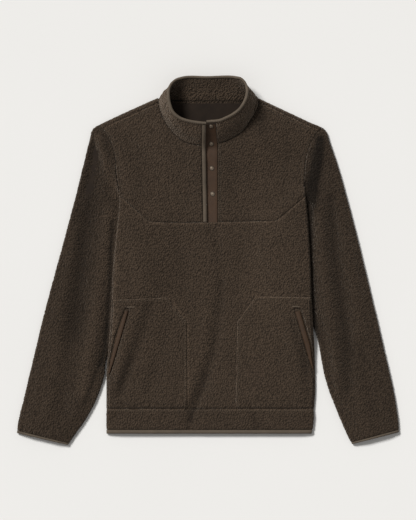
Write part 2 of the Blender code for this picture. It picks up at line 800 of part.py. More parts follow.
def side_rows(low_y, high_y, step):
    """Extra points of a panel where the body's side folds round over."""
    y = np.arange(low_y, high_y, step)
    ways = (*SIDE_WAYS[1:], SIDE_ROUND + 9)
    return [
        (x, at)
        for way in ways
        for at, left, right in zip(y, left_x(y), right_x(y))
        for x in (left + way, right - way)
    ]


def side_points(edge, low_y, high_y, step):
    count = max(2, int(round(abs(high_y - low_y) / step)) + 1)
    y = np.linspace(low_y, high_y, count)
    return np.column_stack([edge(y), y])


def fronts(surface):
    """The lower front and the two yokes."""
    seam = np.array(YOKE_SEAM, float)
    line = polyline(seam, np.linspace(0.0, 1.0, 27))
    line = np.array(sorted(set(map(tuple, np.vstack([line, seam[1:-1]])))))
    bottom = BAND_TOP_Y + GAP / 2
    across = np.linspace(left_x(bottom), right_x(bottom), 22)
    lower = np.vstack(
        [
            np.column_stack([across, np.full(len(across), bottom)])[:-1],
            side_points(right_x, bottom, seam[-1][1] - GAP / 2, PANEL_STEP)[:-1],
            (line - (0.0, GAP / 2))[::-1][:-1],
            side_points(left_x, seam[0][1] - GAP / 2, bottom, PANEL_STEP)[:-1],
        ]
    )
    rows = side_rows(bottom, 140.0, PANEL_STEP)
    pockets = [pocket_loop(side, edge, slit) for _, side, edge, slit in POCKETS]
    layout = lay_out(lower, PANEL_STEP, rows, 0.62, pockets)
    panel("front_panel", layout, front_under, front_top, surface)
    for (name, _, _, _), loop in zip(POCKETS, pockets):
        places, faces = layout
        centres = np.array([places[list(face)].mean(axis=0) for face in faces])
        own = [face for face, inside in zip(faces, inside_loop(centres, loop)) if inside]
        panel(f"pocket_{name}", (places, own), pocket_under, pocket_over, surface)

    tops = np.array(BACK_TOP, float)
    neck = np.array([row[:2] for row in COLLAR if row[2] == 1.0])
    slope = math.cos(SHOULDER_SLOPE)
    for name, sign in (("front_yoke_l", -1), ("front_yoke_r", 1)):
        edge = left_x if sign < 0 else right_x
        turn = (SHOULDER_TURN_L if sign < 0 else SHOULDER_TURN_R) + GAP / 2
        own = neck[neck[:, 0] * sign > 0]
        own = own if sign < 0 else own[::-1]
        own = own[np.argsort(own[:, 1])]
        gate = own[0][0]
        foot = PLACKET_FOOT_X if sign < 0 else UNDER_EDGE_X + GAP
        corner_x = (NECK_CORNER_L - 1.5) if sign < 0 else (NECK_CORNER_R + 1.5)
        tip_y = 280.0
        for _ in range(30):
            tip_x = edge(np.array(tip_y))
            tip_y = float(np.interp(tip_x, tops[:, 0], tops[:, 1]) - turn / slope)
        shoulder_x = np.linspace(float(edge(np.array(tip_y))), corner_x, 8)
        shoulder = np.column_stack(
            [shoulder_x, np.interp(shoulder_x, tops[:, 0], tops[:, 1]) - turn / slope]
        )
        seam_y = float(seam[0][1] if sign < 0 else seam[-1][1]) + GAP / 2
        below = line[(line[:, 0] < foot - 3) if sign < 0 else (line[:, 0] > foot + 3)]
        foot_y = np.interp(foot, seam[:, 0], seam[:, 1]) + GAP / 2
        below = below + (0.0, GAP / 2)
        sides = side_points(edge, seam_y, tip_y, ARMHOLE_STEP)
        gate_y = np.linspace(foot_y, own[0][1], 9)
        gate_x = np.linspace(foot, gate, 9)
        loop = [
            np.column_stack([gate_x, gate_y]),
            curve(own, np.linspace(0, 1, 13))[1:],
            shoulder[::-1],
            sides[::-1][1:],
            (below if sign < 0 else below[::-1])[1:],
        ]
        loop = np.vstack(loop)
        rows = side_rows(seam_y, tip_y - 3.0, PANEL_STEP)
        panel(name, lay_out(loop, PANEL_STEP, rows, 0.55), front_under, front_top, surface)


def collar_rows():
    """Points of the neck seam and of the collar's upper edge."""
    rows = np.array(COLLAR, float)
    seam_z = rows[:, 2] * front_middle(rows[:, 0], rows[:, 1])
    seam_z = seam_z + (1 - rows[:, 2]) * back_middle(rows[:, 0], rows[:, 1])
    return np.column_stack([rows[:, 0], rows[:, 1], seam_z]), rows[:, 3:6]


def collar(surface, bound):
    """The stand collar and its bound edge."""
    seam, top = collar_rows()
    stations = np.linspace(0.0, 1.0, 51)
    both = np.column_stack([seam, top])
    rows = np.column_stack([shares(seam + top), both])
    at = np.column_stack([read(rows, c, stations) for c in range(1, 7)])
    seam, top = at[:, :3], at[:, 3:]
    up = unit(top - seam)
    along = unit(np.gradient(top + seam, axis=0))
    out = unit(np.cross(up, along))
    tilt = np.abs(up[:, 2])
    base = seam + up * (WALL / 2 * tilt + 0.8)[:, None]
    crest = top - up * (BINDING_HEIGHT / 2 + GAP)
    outer, inner = [], []
    for v in np.linspace(0.0, 1.0, 6):
        middle = base + (crest - base) * v + out * COLLAR_BULGE * math.sin(math.pi * v)
        outer.append(middle + out * WALL / 2)
        inner.append(middle - out * WALL / 2)
    slab("collar", np.array(outer), np.array(inner), surface)

    start = top[:1] + np.array([[7.0, -0.6, 0.4]])
    end = np.array([[6.0, TAPE_TOP[1] + 0.6, TAPE_TOP[0] + 0.6], [-1.2, TAPE_TOP[1], TAPE_TOP[0]]])
    centres = np.vstack([start, top, end])
    across = np.vstack([out[:1], out, out[-1:], out[-1:]])
    ups = np.vstack([up[:1], up, up[-1:], up[-1:]])
    sweep("collar_binding", centres, across, ups, BINDING_WIDTH, BINDING_HEIGHT, bound)


def tape_line():
    """Middle line of the placket tape, y and z, and the ends of its width."""
    flat_y = np.array(TAPE_FLAT_Y)
    flat_z = front_middle(np.full(len(flat_y), UNDER_EDGE_X + 2), flat_y) - TAPE_SINK
    foot_y, foot_z = flat_y[-1], flat_z[-1]
    top_z, top_y = TAPE_TOP
    share = np.array(TAPE_RISE)
    up_y = foot_y + share * (top_y - foot_y)
    up_z = foot_z + (top_z - foot_z) * share**1.25
    y = np.concatenate([flat_y, up_y])
    z = np.concatenate([flat_z, up_z])
    right = np.interp(y, [YOKE_Y, 244.0, 290.0], [19.6, 19.4, 14.6])
    return y, z, np.full(len(y), TAPE_LEFT_X), right


def placket(bound, woven, metal):
    """The bound edge, the tape and the snaps on it."""
    y, z, left, right = tape_line()
    rise = unit(np.column_stack([np.gradient(y), np.gradient(z)]))
    normal = np.column_stack([np.zeros(len(y)), -rise[:, 1], rise[:, 0]])
    across = np.linspace(0.0, 1.0, 4)
    middle = [np.column_stack([left + (right - left) * t, y, z]) for t in across]
    middle = np.stack(middle, axis=1)
    half = normal[:, None] * TAPE_WALL / 2
    slab("placket_tape", middle + half, middle - half, woven)

    seam, top = collar_rows()
    foot_y = np.linspace(YOKE_Y + 2.6, 236.0, 9)
    foot_x = np.interp(foot_y, [YOKE_Y, 241.0], [-6.0, -9.0])
    foot_z = front_middle(np.full(len(foot_y), -14.5), foot_y)
    start, end = seam[0] + (4.9, 0.0, 0.0), top[0] + (4.4, 0.0, 0.0)
    share = np.array(STAND_RISE)
    stand = start + (end - start) * share[:, None]
    up = unit(end - start)
    out = unit(np.cross(up, (1.0, 0.0, 0.0)))
    out = out if out[2] > 0 else -out
    stand = stand + out * COLLAR_BULGE * np.sin(math.pi * share)[:, None]
    centres = np.vstack([np.column_stack([foot_x, foot_y, foot_z]), stand])
    along = unit(np.gradient(centres, axis=0))
    side = np.tile((1.0, 0.0, 0.0), (len(centres), 1))
    over = unit(np.cross(side, along))
    width, height = PLACKET_BINDING_WIDTH, PLACKET_BINDING_HEIGHT
    sweep("placket_binding", centres, side, over, width, height, bound)

    for number, (snap_x, snap_y) in enumerate(SNAPS, 1):
        tilt = np.array([np.interp(snap_y, y, normal[:, c]) for c in range(3)])
        place = np.array([snap_x, snap_y, np.interp(snap_y, y, z)])
        snap(f"snap_{number}", place + tilt * (TAPE_WALL / 2 + GAP), tilt, metal)


def snap(name, place, normal, metal):
    """A turned stud with a raised rim and a dished middle."""
    profile = (
        # radius, height
        (SNAP_RADIUS, 0.0),
        (SNAP_RADIUS, SNAP_HEIGHT * 0.45),
        (SNAP_RADIUS * 0.86, SNAP_HEIGHT * 0.85),
        (SNAP_RADIUS * 0.62, SNAP_HEIGHT),
        (SNAP_RADIUS * 0.40, SNAP_HEIGHT * 0.80),
    )
    turns = np.arange(SNAP_SIDES) / SNAP_SIDES * math.tau
    normal = normal / np.linalg.norm(normal)
    side = np.array([1.0, 0.0, 0.0])
    circle = np.outer(np.cos(turns), side) + np.outer(np.sin(turns), np.cross(normal, side))
    rings = [place + normal * height + radius * circle for radius, height in profile]
    index = np.arange(len(profile) * SNAP_SIDES).reshape(len(profile), SNAP_SIDES)
    after = np.roll(index, -1, axis=1)
    faces = [
        (index[i, j], after[i, j], after[i + 1, j], index[i + 1, j])
        for i in range(len(profile) - 1)
        for j in range(SNAP_SIDES)
    ]
    faces += [tuple(index[0]), tuple(reversed(index[-1]))]
    put(name, np.vstack(rings), faces, metal)


def pocket_loop(side, edge, slit):
    """A pocket's outline. Its slanted opening is cut in from the side fold."""
    body_side = left_x if side < 0 else right_x
    slit = np.array(slit, float)
    top_side, corner, clipped, foot = [np.array(p) for p in edge]

    def beside(low_y, high_y):
        points = side_points(body_side, low_y, high_y, PANEL_STEP)
        points[:, 0] -= side * POCKET_INSET
        return points

    leave_y = slit[-1][0]
    hem_side = body_side(np.array(foot[1])) - side * POCKET_INSET
    return np.vstack(
        [
            polyline([top_side, corner], np.linspace(0, 1, 7))[:-1],
            polyline([corner, clipped], np.linspace(0, 1, 4))[:-1],
            polyline([clipped, foot], np.linspace(0, 1, 9))[:-1],
            polyline([foot, (hem_side, foot[1])], np.linspace(0, 1, 9))[:-1],
            beside(foot[1], leave_y - 14.0),
            slit[::-1][:, [2, 0]],
            slit[:-1][:, [1, 0]],
            beside(slit[-2][0] - 8.0, -100.0),
        ]
    )


def pocket_under(x, y):
    return front_top(x, y) + GAP


def pocket_over(x, y):
    return front_top(x, y) + GAP + POCKET_WALL


def welt(name, side, slit, surface):
    """A woven strip that fills the inner part of the opening."""
    slit = np.array(slit, float)
    y = np.linspace(slit[0][0] - 4.0, slit[-1][0] + 2.0, 11)
    order = np.argsort(slit[:, 0])
    out = np.interp(y, slit[order, 0], slit[order, 1])
    inner_lip = np.interp(y, slit[order, 0], slit[order, 2])
    inner_x = inner_lip + side * 0.4
    outer_x = inner_lip + (out - inner_lip) * 0.80
    grid_x = np.stack([inner_x + (outer_x - inner_x) * t for t in (0.0, 0.5, 1.0)], axis=1)
    grid_y = np.repeat(y[:, None], 3, axis=1)
    low = front_top(grid_x, grid_y) + WELT_GAP
    crown = np.array([0.0, 0.7, 0.0])
    slab(
        name,
        np.stack([grid_x, grid_y, low + WELT_WALL + crown], axis=-1),
        np.stack([grid_x, grid_y, low], axis=-1),
        surface,
    )


def main():
    for old in list(bpy.data.objects):
        bpy.data.objects.remove(old)
    fleece = material("fleece", FLEECE, 0.95)
    bound = material("binding", BINDING, 0.7)
    woven = material("tape", TAPE, 0.6)
    metal = material("snap_bronze", BRONZE, 0.35, 0.9)

    back(fleece)
    fronts(fleece)
    split = HEM_Y + HEM_BINDING
    body_ring("hem_band", split + GAP / 2, BAND_TOP_Y - GAP / 2, 17, 4, fleece)
    body_ring("hem_binding", HEM_Y, split - GAP / 2, 17, 3, bound, proud=0.3)

    sides = (
        ("l", -1, SLEEVE_OUTER_L, SLEEVE_INNER_L, left_x, ARMHOLE_END_L),
        ("r", 1, SLEEVE_OUTER_R, SLEEVE_INNER_R, right_x, ARMHOLE_END_R),
    )
    for letter, side, outer_edge, inner_edge, body_edge, end in sides:
        seam = armhole(outer_edge[-1], body_edge, side, end)
        edges = (outer_edge, inner_edge, seam)
        start = CUFF_BINDING / SLEEVE_LENGTH
        first = start + GAP / SLEEVE_LENGTH
        rows = np.concatenate([np.linspace(first, 0.985, 22), [0.9925, 1.0]])
        sleeve_part(f"sleeve_{letter}", side, edges, rows, 8, fleece)
        rows = np.linspace(0.0, start, 3)
        sleeve_part(f"cuff_binding_{letter}", side, edges, rows, 5, bound, proud=0.3)

    collar(fleece, bound)
    placket(bound, woven, metal)
    for name, side, _, slit in POCKETS:
        welt(f"pocket_welt_{name}", side, slit, woven)


main()
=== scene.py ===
"""The looks of a pile-fleece pullover that lies flat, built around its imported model.

Tables and sizes are in millimetres and become metres when a mesh is made. +X runs to the right and
+Y to the collar as seen from above. In names, "l" is the side at -X and "r" the side at +X.
"""

import math

import bmesh
import bpy
import numpy as np
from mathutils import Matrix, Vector
from mathutils.geometry import delaunay_2d_cdt


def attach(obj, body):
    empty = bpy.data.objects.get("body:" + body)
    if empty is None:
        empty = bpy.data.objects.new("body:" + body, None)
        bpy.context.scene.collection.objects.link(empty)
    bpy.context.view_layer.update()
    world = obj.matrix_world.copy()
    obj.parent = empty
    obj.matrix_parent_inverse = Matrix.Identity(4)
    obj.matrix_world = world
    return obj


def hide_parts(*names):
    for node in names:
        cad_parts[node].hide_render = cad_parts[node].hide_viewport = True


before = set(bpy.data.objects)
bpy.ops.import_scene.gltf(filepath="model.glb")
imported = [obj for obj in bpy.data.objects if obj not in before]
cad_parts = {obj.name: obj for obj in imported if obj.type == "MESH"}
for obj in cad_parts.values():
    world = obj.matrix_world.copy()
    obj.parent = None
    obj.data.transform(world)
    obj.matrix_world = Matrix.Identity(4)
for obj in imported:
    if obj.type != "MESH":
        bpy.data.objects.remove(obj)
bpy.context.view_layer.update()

MM = 0.001

# Cloth
WALL = 4.2  # fleece with its pile
GAP = 0.3  # between pieces at a seam
ARMHOLE_GAP = 1.0  # measured level, so less across the slanted seam
FACE_GAP = 0.7  # between front and back
AIR = 2.2  # between front and back where the body lies loose
POCKET_WALL = 3.2
TAPE_WALL = 2.0
WELT_WALL = 2.6

# Body
HEM_Y = -362.7
HEM_BINDING = 8.0  # width of the binding
BAND_TOP_Y = -310.0
SIDE_ROUND = 9.0  # how far in the side folds round over
SIDE_WAYS = (0.0, 1.6, 4.6, SIDE_ROUND)  # where that rounding has points
AIR_RAMP = 30.0  # how far in from the side front and back come apart
SIDE_EDGE = 1.7  # half thickness at the side fold itself
ARM_EDGE = 3.4  # half thickness at the armhole seam
ARM_Y = 118.0  # where the side fold passes into the armhole, and over how much
ARM_RAMP = 30.0
SHOULDER_SLOPE = math.radians(24.5)
SHOULDER_TURN_L = 9.6  # how far the back comes forward over the shoulder
SHOULDER_TURN_R = 6.6
SHOULDER_FLAT = 0.6  # how much of that lies flat, past the bend
SHOULDER_TIP_Y = 285.0  # about where the shoulder fold meets the armhole, and its middle
SHOULDER_MIDDLE_Y = 310.0
ARMHOLE_POINTS_Y = (270.0, 255.0, 238.0, 222.0, 204.0, 186.0, 170.0, 154.0, 138.0)

# Sleeves
SLEEVE_FLAT = 9.2  # thickness where the body lies on a sleeve
SLEEVE_CROWN = 4.0  # how much thicker it is beside the body
SLEEVE_ROUND = 7.0  # how far in its edges round over
CROWN_START = 2.0  # how far from the body and from its own edges that crown begins
CROWN_RAMP = 30.0  # and over how much it rises
SEAM_RAMP = 60.0  # how far down the sleeve its seam is lifted with the body
SEAM_LIFT_Y = 132.0  # above which it is lifted, and over how much
SEAM_LIFT_RAMP = 26.0
SEAM_THIN = 6.0  # how far from its seam it is thinner, above which y, and over how much
SEAM_THIN_Y = 130.0
SEAM_THIN_RAMP = 20.0
CUFF_BINDING = 5.2
SLEEVE_LENGTH = 655.0  # along the middle, from cuff to armhole
RISE = SLEEVE_FLAT + GAP  # how far the body is lifted where it lies on a sleeve

# Neck
NECK_CENTRE = (0.0, 330.0)
NECK_LIFT = 12.5  # how far the front is lifted off the back at the middle of the neck seam
NECK_REACH = 215.0  # how far from the centre that lift ends, and over how much it falls
NECK_RAMP = 125.0
NECK_OVAL = 1.05
SHOULDER_Y = 350.0  # it falls again towards the shoulders
SHOULDER_RAMP = 95.0
COLLAR_BULGE = 3.0
BINDING_WIDTH = 6.4
BINDING_HEIGHT = 5.6

# Placket
PLACKET_LIFT = 4.0  # how far the upper side lies above the under side
PLACKET_X = -9.0  # middle of the bound edge, and how far the lift spreads
PLACKET_SPREAD = 42.0
PLACKET_FADE = 45.0  # how far below the yoke seam the lift ends, and over how much
PLACKET_RAMP = 60.0
PLACKET_FOOT_X = -10.9  # end of the yoke seam at the upper side
PLACKET_FLAT_Y = 236.0  # where it leaves the flat front and turns up the collar
PLACKET_EDGE_X = (-6.0, -9.0)  # middle of its binding at the yoke seam and at the neck
PLACKET_NECK_Y = 241.0
PLACKET_HEIGHT_X = -14.5  # where the height of that middle is taken
PLACKET_COUNT = 110
PLACKET_BINDING_WIDTH = 9.0
PLACKET_BINDING_HEIGHT = 4.8
YOKE_Y = 81.5
UNDER_EDGE_X = 20.0
TAPE_SINK = 1.1  # how far the tape's middle lies below that of the fleece
TAPE_LEFT_X = -11.5
TAPE_FLAT_Y = (YOKE_Y + 2.4, 110.0, 140.0, 170.0, 200.0, 222.0, 238.0)
TAPE_RISE = (0.18, 0.38, 0.6, 0.8, 0.93)  # shares of the way up the collar
STAND_RISE = (0.12, 0.3, 0.5, 0.7, 0.84)  # and those of the bound edge

# The body's side edges and armholes.
BODY_SIDES = (
    # y, left x, right x
    (-362.7, -213.0, 217.5), (-345.0, -213.2, 221.0), (-310.0, -213.2, 222.5),
    (-280.0, -213.0, 224.7), (-233.0, -212.7, 224.7), (-187.0, -209.4, 223.4),
    (-113.0, -204.4, 218.8), (-76.0, -202.0, 216.9), (0.0, -198.5, 214.2), (70.0, -191.5, 210.0),
    (110.0, -187.5, 206.8), (140.0, -186.4, 204.3), (160.0, -189.5, 202.2),
    (186.0, -193.2, 203.7), (222.0, -195.3, 207.8), (255.0, -206.5, 220.0),
    (270.0, -217.0, 231.0), (286.0, -227.2, 244.0),
)

# Where the body lies on the sleeves: the sleeve's inner edge, and the share of the full lift.
TUCK_L = (
    # y, inner edge x, lift
    (-300.0, -239.0, 0.0), (-262.0, -223.0, 0.25), (-232.0, -217.0, 0.75), (-212.0, -214.6, 1.0),
    (-195.0, -210.0, 1.0), (-158.0, -197.0, 1.0), (-105.0, -178.0, 1.0), (-55.0, -160.0, 1.0),
    (-5.0, -146.0, 1.0), (38.0, -143.0, 1.0), (68.0, -150.0, 1.0), (92.0, -161.0, 1.0),
    (108.0, -170.0, 1.0), (136.0, -187.0, 1.0), (155.0, -189.0, 0.6), (175.0, -191.0, 0.25),
    (205.0, -194.0, 0.0),
)
TUCK_R = (
    # y, inner edge x, lift
    (-240.0, 244.0, 0.0), (-200.0, 236.0, 0.3), (-165.0, 229.0, 0.85), (-140.0, 221.5, 1.0),
    (-105.0, 206.0, 1.0), (-55.0, 186.0, 1.0), (-5.0, 168.0, 1.0), (38.0, 160.0, 1.0),
    (68.0, 168.0, 1.0), (92.0, 180.0, 1.0), (108.0, 189.0, 1.0), (136.0, 204.5, 1.0),
    (155.0, 202.6, 0.6), (175.0, 203.0, 0.25), (205.0, 206.0, 0.0),
)
TUCK_MARGIN = 8.0  # kept at full lift past the sleeve's edge
TUCK_RAMP = 46.0  # over how much the back comes down again beside a sleeve
FRONT_RAMP = 95.0  # and the front, which bridges it

# Sleeve edges from cuff to armhole.
SLEEVE_OUTER_L = (
    # x, y
    (-400.9, -361.5), (-400.2, -352.0), (-385.4, -285.0), (-365.4, -201.0), (-345.2, -117.0),
    (-323.0, -33.0), (-300.1, 51.0), (-277.8, 135.0), (-261.2, 202.2), (-248.6, 252.6),
    (-240.9, 277.0), (-227.4, 286.0),
)
SLEEVE_INNER_L = (
    # x, y
    (-293.8, -386.6), (-282.0, -369.0), (-258.3, -335.4), (-239.2, -301.8), (-225.5, -268.2),
    (-218.6, -246.0), (-214.8, -214.0), (-210.0, -195.0), (-197.0, -158.0), (-178.0, -105.0),
    (-160.0, -55.0), (-146.0, -5.0), (-143.0, 38.0), (-150.0, 68.0), (-161.0, 92.0),
    (-170.0, 108.0),
)
ARMHOLE_END_L = (
    # x, y
    (-183.5, 126.0), (-170.0, 108.0),
)
SLEEVE_OUTER_R = (
    # x, y
    (400.9, -359.5), (400.4, -350.0), (391.4, -285.0), (372.8, -201.0), (353.2, -117.0),
    (332.9, -33.0), (312.5, 51.0), (290.4, 135.0), (271.3, 202.2), (254.3, 252.6), (248.2, 270.5),
    (240.5, 280.2),
)
SLEEVE_INNER_R = (
    # x, y
    (302.4, -384.7), (294.0, -369.0), (279.0, -335.4), (265.4, -301.8), (252.4, -268.2),
    (244.4, -240.0), (238.8, -211.9), (228.3, -159.4), (221.8, -141.0), (206.0, -105.0),
    (186.0, -55.0), (168.0, -5.0), (160.0, 38.0), (168.0, 68.0), (180.0, 92.0), (189.0, 108.0),
)
ARMHOLE_END_R = (
    # x, y
    (202.0, 126.0), (189.0, 108.0),
)

# Upper edge of the back as it lies: the shoulder folds, and the neck seam between them.
NECK_CORNER_L = -104.5
NECK_CORNER_R = 106.0
BACK_TOP = (
    # x, y
    (-231.0, 284.1), (-191.5, 303.0), (-136.0, 328.2), (-104.5, 342.0), (-98.0, 339.5),
    (-88.0, 335.2), (-76.0, 332.2), (-60.0, 331.4), (60.0, 331.4), (76.0, 332.2), (90.0, 335.2),
    (100.0, 339.0), (106.0, 341.0), (160.0, 315.6), (213.0, 290.6), (243.0, 278.6),
)

# The collar, from its left front end round the back to its right one. The layer is 1 where the
# seam is on the front and 0 where it is on the back.
COLLAR = (
    # seam x, seam y, layer, top x, top y, top z
    (-13.9, 241.2, 1.0, -12.5, 287.5, 58.0), (-30.0, 243.0, 1.0, -27.0, 289.2, 58.5),
    (-48.0, 248.5, 1.0, -45.0, 292.8, 59.5), (-69.0, 264.0, 1.0, -60.5, 298.8, 60.5),
    (-86.0, 285.0, 1.0, -73.0, 310.0, 61.0), (-97.5, 309.0, 1.0, -79.5, 325.5, 61.0),
    (-103.0, 329.0, 1.0, -82.5, 343.0, 59.0), (-101.0, 338.6, 0.5, -82.0, 357.0, 54.0),
    (-90.0, 335.6, 0.0, -77.5, 368.0, 46.0), (-76.0, 332.2, 0.0, -69.0, 376.8, 38.5),
    (-56.0, 331.4, 0.0, -55.0, 382.2, 33.0), (0.0, 331.4, 0.0, 0.0, 383.6, 30.0),
    (56.0, 331.4, 0.0, 58.0, 383.4, 33.0), (76.0, 332.2, 0.0, 70.0, 379.8, 38.5),
    (91.0, 335.6, 0.0, 77.5, 371.0, 46.0), (102.5, 338.2, 0.5, 81.2, 359.0, 54.0),
    (104.5, 328.0, 1.0, 80.8, 346.0, 59.0), (97.0, 309.0, 1.0, 75.6, 331.0, 61.0),
    (85.0, 289.5, 1.0, 65.0, 315.5, 61.0), (71.0, 271.0, 1.0, 50.5, 304.6, 60.5),
    (52.5, 258.5, 1.0, 35.5, 297.2, 59.5), (33.0, 249.0, 1.0, 25.0, 293.0, 58.5),
    (20.2, 245.0, 1.0, 16.8, 291.6, 57.0),
)
TAPE_TOP = (54.5, 289.5)  # z and y of the collar edge over the tape

# The yoke seam from the left armhole to the right one.
YOKE_SEAM = (
    # x, y
    (-186.2, 137.0), (-121.8, 82.0), (-60.0, 80.0), (20.0, 81.5), (143.9, 84.4), (204.6, 136.0),
)

# Pockets: the clipped corner, the bottom, and the slanted opening between its two lips.
POCKET_L_EDGE = ((-200.5, -81.0), (-86.1, -76.0), (-44.1, -128.5), (-43.2, -308.8))
POCKET_R_EDGE = ((215.6, -75.4), (98.7, -73.9), (59.9, -127.9), (56.6, -308.8))
SLIT_L = (
    # y, lip towards the side, lip towards the middle
    (-101.0, -173.6, -165.4), (-149.0, -190.9, -179.0), (-181.0, -199.2, -188.5),
    (-214.0, -206.6, -198.4), (-238.0, -210.5, -206.2),
)
SLIT_R = (
    # y, lip towards the side, lip towards the middle
    (-101.0, 194.2, 180.4), (-149.0, 208.4, 194.6), (-181.0, 217.4, 203.9),
    (-206.0, 219.4, 211.4), (-228.0, 222.6, 219.0),
)
POCKET_INSET = 3.2  # from the side fold
WELT_GAP = 0.7  # over the front
WELT_SHARE = 0.80  # how much of the opening it fills
WELT_CROWN = 0.9
WELT_COLUMNS = 13
POCKETS = (
    # name, side, edge, opening
    ("l", -1, POCKET_L_EDGE, SLIT_L),
    ("r", 1, POCKET_R_EDGE, SLIT_R),
)

SNAPS = (
    # x, y
    (6.3, 281.4), (6.9, 245.3), (8.0, 194.0), (9.5, 140.3),
)

# The largest folds: half width, height (a trough is below zero), and the points it runs through.
FRONT_FOLDS = (
    (15.0, -1.7, ((15, -95), (11, -190), (-9, -260), (-27, -303), (-31, -345))),
    (14.0, -1.4, ((-145, -110), (-147, -187), (-180, -270))),
    (11.0, 1.2, ((-168, -140), (-192, -240))),
    (22.0, 1.2, ((-90, -150), (-88, -290))),
    (24.0, 1.0, ((95, -160), (90, -280))),
    (20.0, 0.9, ((-120, 60), (-105, -40))),
    (22.0, 0.9, ((120, 70), (125, -30))),
)
SLEEVE_FOLDS = (
    (12.0, 3.4, ((-230, 268), (-213, 215), (-204, 165))),
    (16.0, -2.6, ((-241, 250), (-243, 205), (-250, 160))),
    (17.0, -1.8, ((-254, 90), (-275, -125))),
    (16.0, 1.4, ((-240, 20), (-243, -70))),
    (18.0, -1.5, ((-330, -230), (-300, -320))),
    (12.0, 3.6, ((236, 262), (226, 226), (217, 180))),
    (14.0, -3.0, ((246, 245), (240, 190), (228, 135))),
    (15.0, -2.0, ((256, 86), (271, -36), (288, -110), (293, -181), (284, -265))),
    (18.0, 1.4, ((300, 40), (318, -70))),
    (18.0, 1.2, ((330, -200), (345, -300))),
)

POCKET_ROUND = 3.6  # how far in a pocket's edges round over
POCKET_RIM = 0.9  # its thickness at those edges
POCKET_FOOT = 26.0  # how far above the hem band a pocket lies thinner
TAPE_RIPPLE = 0.9
ARMHOLE_TUCK = 4.2  # how far a sleeve is tucked into its seam, and at the shoulder's tip
TIP_TUCK = 1.5
NECK_TUCK = 3.6  # how far the back of the collar is
BARE_RAMP = 4.0  # over how much a sleeve's pile rises beside the body

# How far from the edges the stitched lines run
POCKET_STITCH = 5.6
LIP_STITCH = 4.0
SHOULDER_STITCH = 7.0
ARM_STITCH = 7.0
BAND_STITCH = 4.4
GATE_STITCHES = (2.4, 6.6)  # beside the under edge of the placket
COLLAR_STITCH = 3.0  # below the collar's bound edge
END_STITCHES = (3.0, 7.0)  # beside its right front end
STITCH_SINK = 0.15  # how deep a thread lies in the cloth

# Painted light and shade on the fleece, lighter or darker where more or less light falls: 1 is the
# cloth's own colour
SLEEVE_PAINTED_SHADE = 0.77
SLEEVE_RISE = 0.06  # how much less painted shade towards the cuff
BAND_PAINTED_SHADE = 0.95
BAND_HIGHLIGHT = 0.4  # painted highlight along its upper seam, but for a stretch round this x
BAND_CALM_X = -10.0
BAND_CALM = 30.0
COLLAR_PAINTED_LIGHT = 1.35
INSIDE_PAINTED_LIGHT = 0.36  # painted light: how much lighter the collar's inner face is painted behind the neck
LIT_MIDDLE = 0.53  # where that is, as a share of the collar's length, and how far it reaches
LIT_SHARE = 0.19

# The collar's mesh, and how much of the full pile its faces show
COLLAR_COUNT = 300
COLLAR_ROWS = 40
COLLAR_LENGTH = 490.0
COLLAR_PILE = 0.55
COLLAR_INSIDE_PILE = 0.34
BEHIND_SHARE = 0.21  # how much of its length, to each side of the middle, is tucked in
NECK_SEAM = 3.9  # how far up the collar the painted shadow at its seam shows inside
NECK_SEAM_WIDTH = 2.3
NECK_SEAM_PAINTED_SHADE = 0.95

# Bars of thread at the ends of the pocket openings
BAR_PITCH = 0.9
BAR_LENGTH = 2.6
BAR_THICK = 0.9
STITCH_BARS = (
    # from x, to x, y
    (-170.0, -153.5, -97.0), (177.0, 191.5, -95.5),
)
SNAP_SIDES = 40
SNAP_RIM = 4  # how many of its rings are the dark rim
SNAP_PROFILE = (
    # radius, height
    (5.0, 0.0), (5.1, 0.3), (4.8, 0.8), (4.3, 1.0), (3.9, 0.55), (3.6, 0.6), (3.3, 1.2),
    (2.8, 1.55), (2.3, 1.3), (1.8, 1.3), (1.3, 1.75), (0.6, 2.0),
)

# Colours as linear values
FLEECE = (0.0525, 0.0358, 0.0236)
FLEECE_SHEEN = 0.30
SHEEN_ROUGH = 0.45
FLEECE_TINT = (0.62, 0.52, 0.42)
BACKING = (0.0152, 0.0094, 0.0056)
BINDING = (0.088, 0.066, 0.045)
TAPE = (0.0480, 0.0226, 0.0088)
WELT = (0.0425, 0.0194, 0.0060)
THREAD = (0.11, 0.082, 0.056)
BRONZE = (0.205, 0.158, 0.115)
PAPER = (0.763, 0.751, 0.727)

# Knots of the pile to a metre, and how deep the creases between them look
KNOT_SCALE = (340.0, 235.0, 300.0)
KNOT_HEIGHT = 0.0036
MOTTLE_DETAIL = 3.0

# Stage, in metres
FLOOR_SIZE = 60.0
FLOOR_Z = -0.0004
SKY = (1.0, 1.0, 1.0)
SKY_STRENGTH = 0.33
LIGHT_WAY = (0.66, -0.70, -0.98)
LIGHT_STRENGTH = 3.5
LIGHT_SPREAD = math.radians(16.0)
SQUARE = ((-1, -1), (1, -1), (1, 1), (-1, 1))
LENS = 250.0
SENSOR = 36.0
VIEW_TALL = 1.092  # what the frame holds from top to bottom
VIEW_END = 50.0
VIEW_X = 0.0
VIEW_Y = 0.0017

PIXEL = 2.1  # millimetres to a pixel of the photograph
PIXEL_MIDDLE = (208.0, 260.8)  # the pixel over the origin
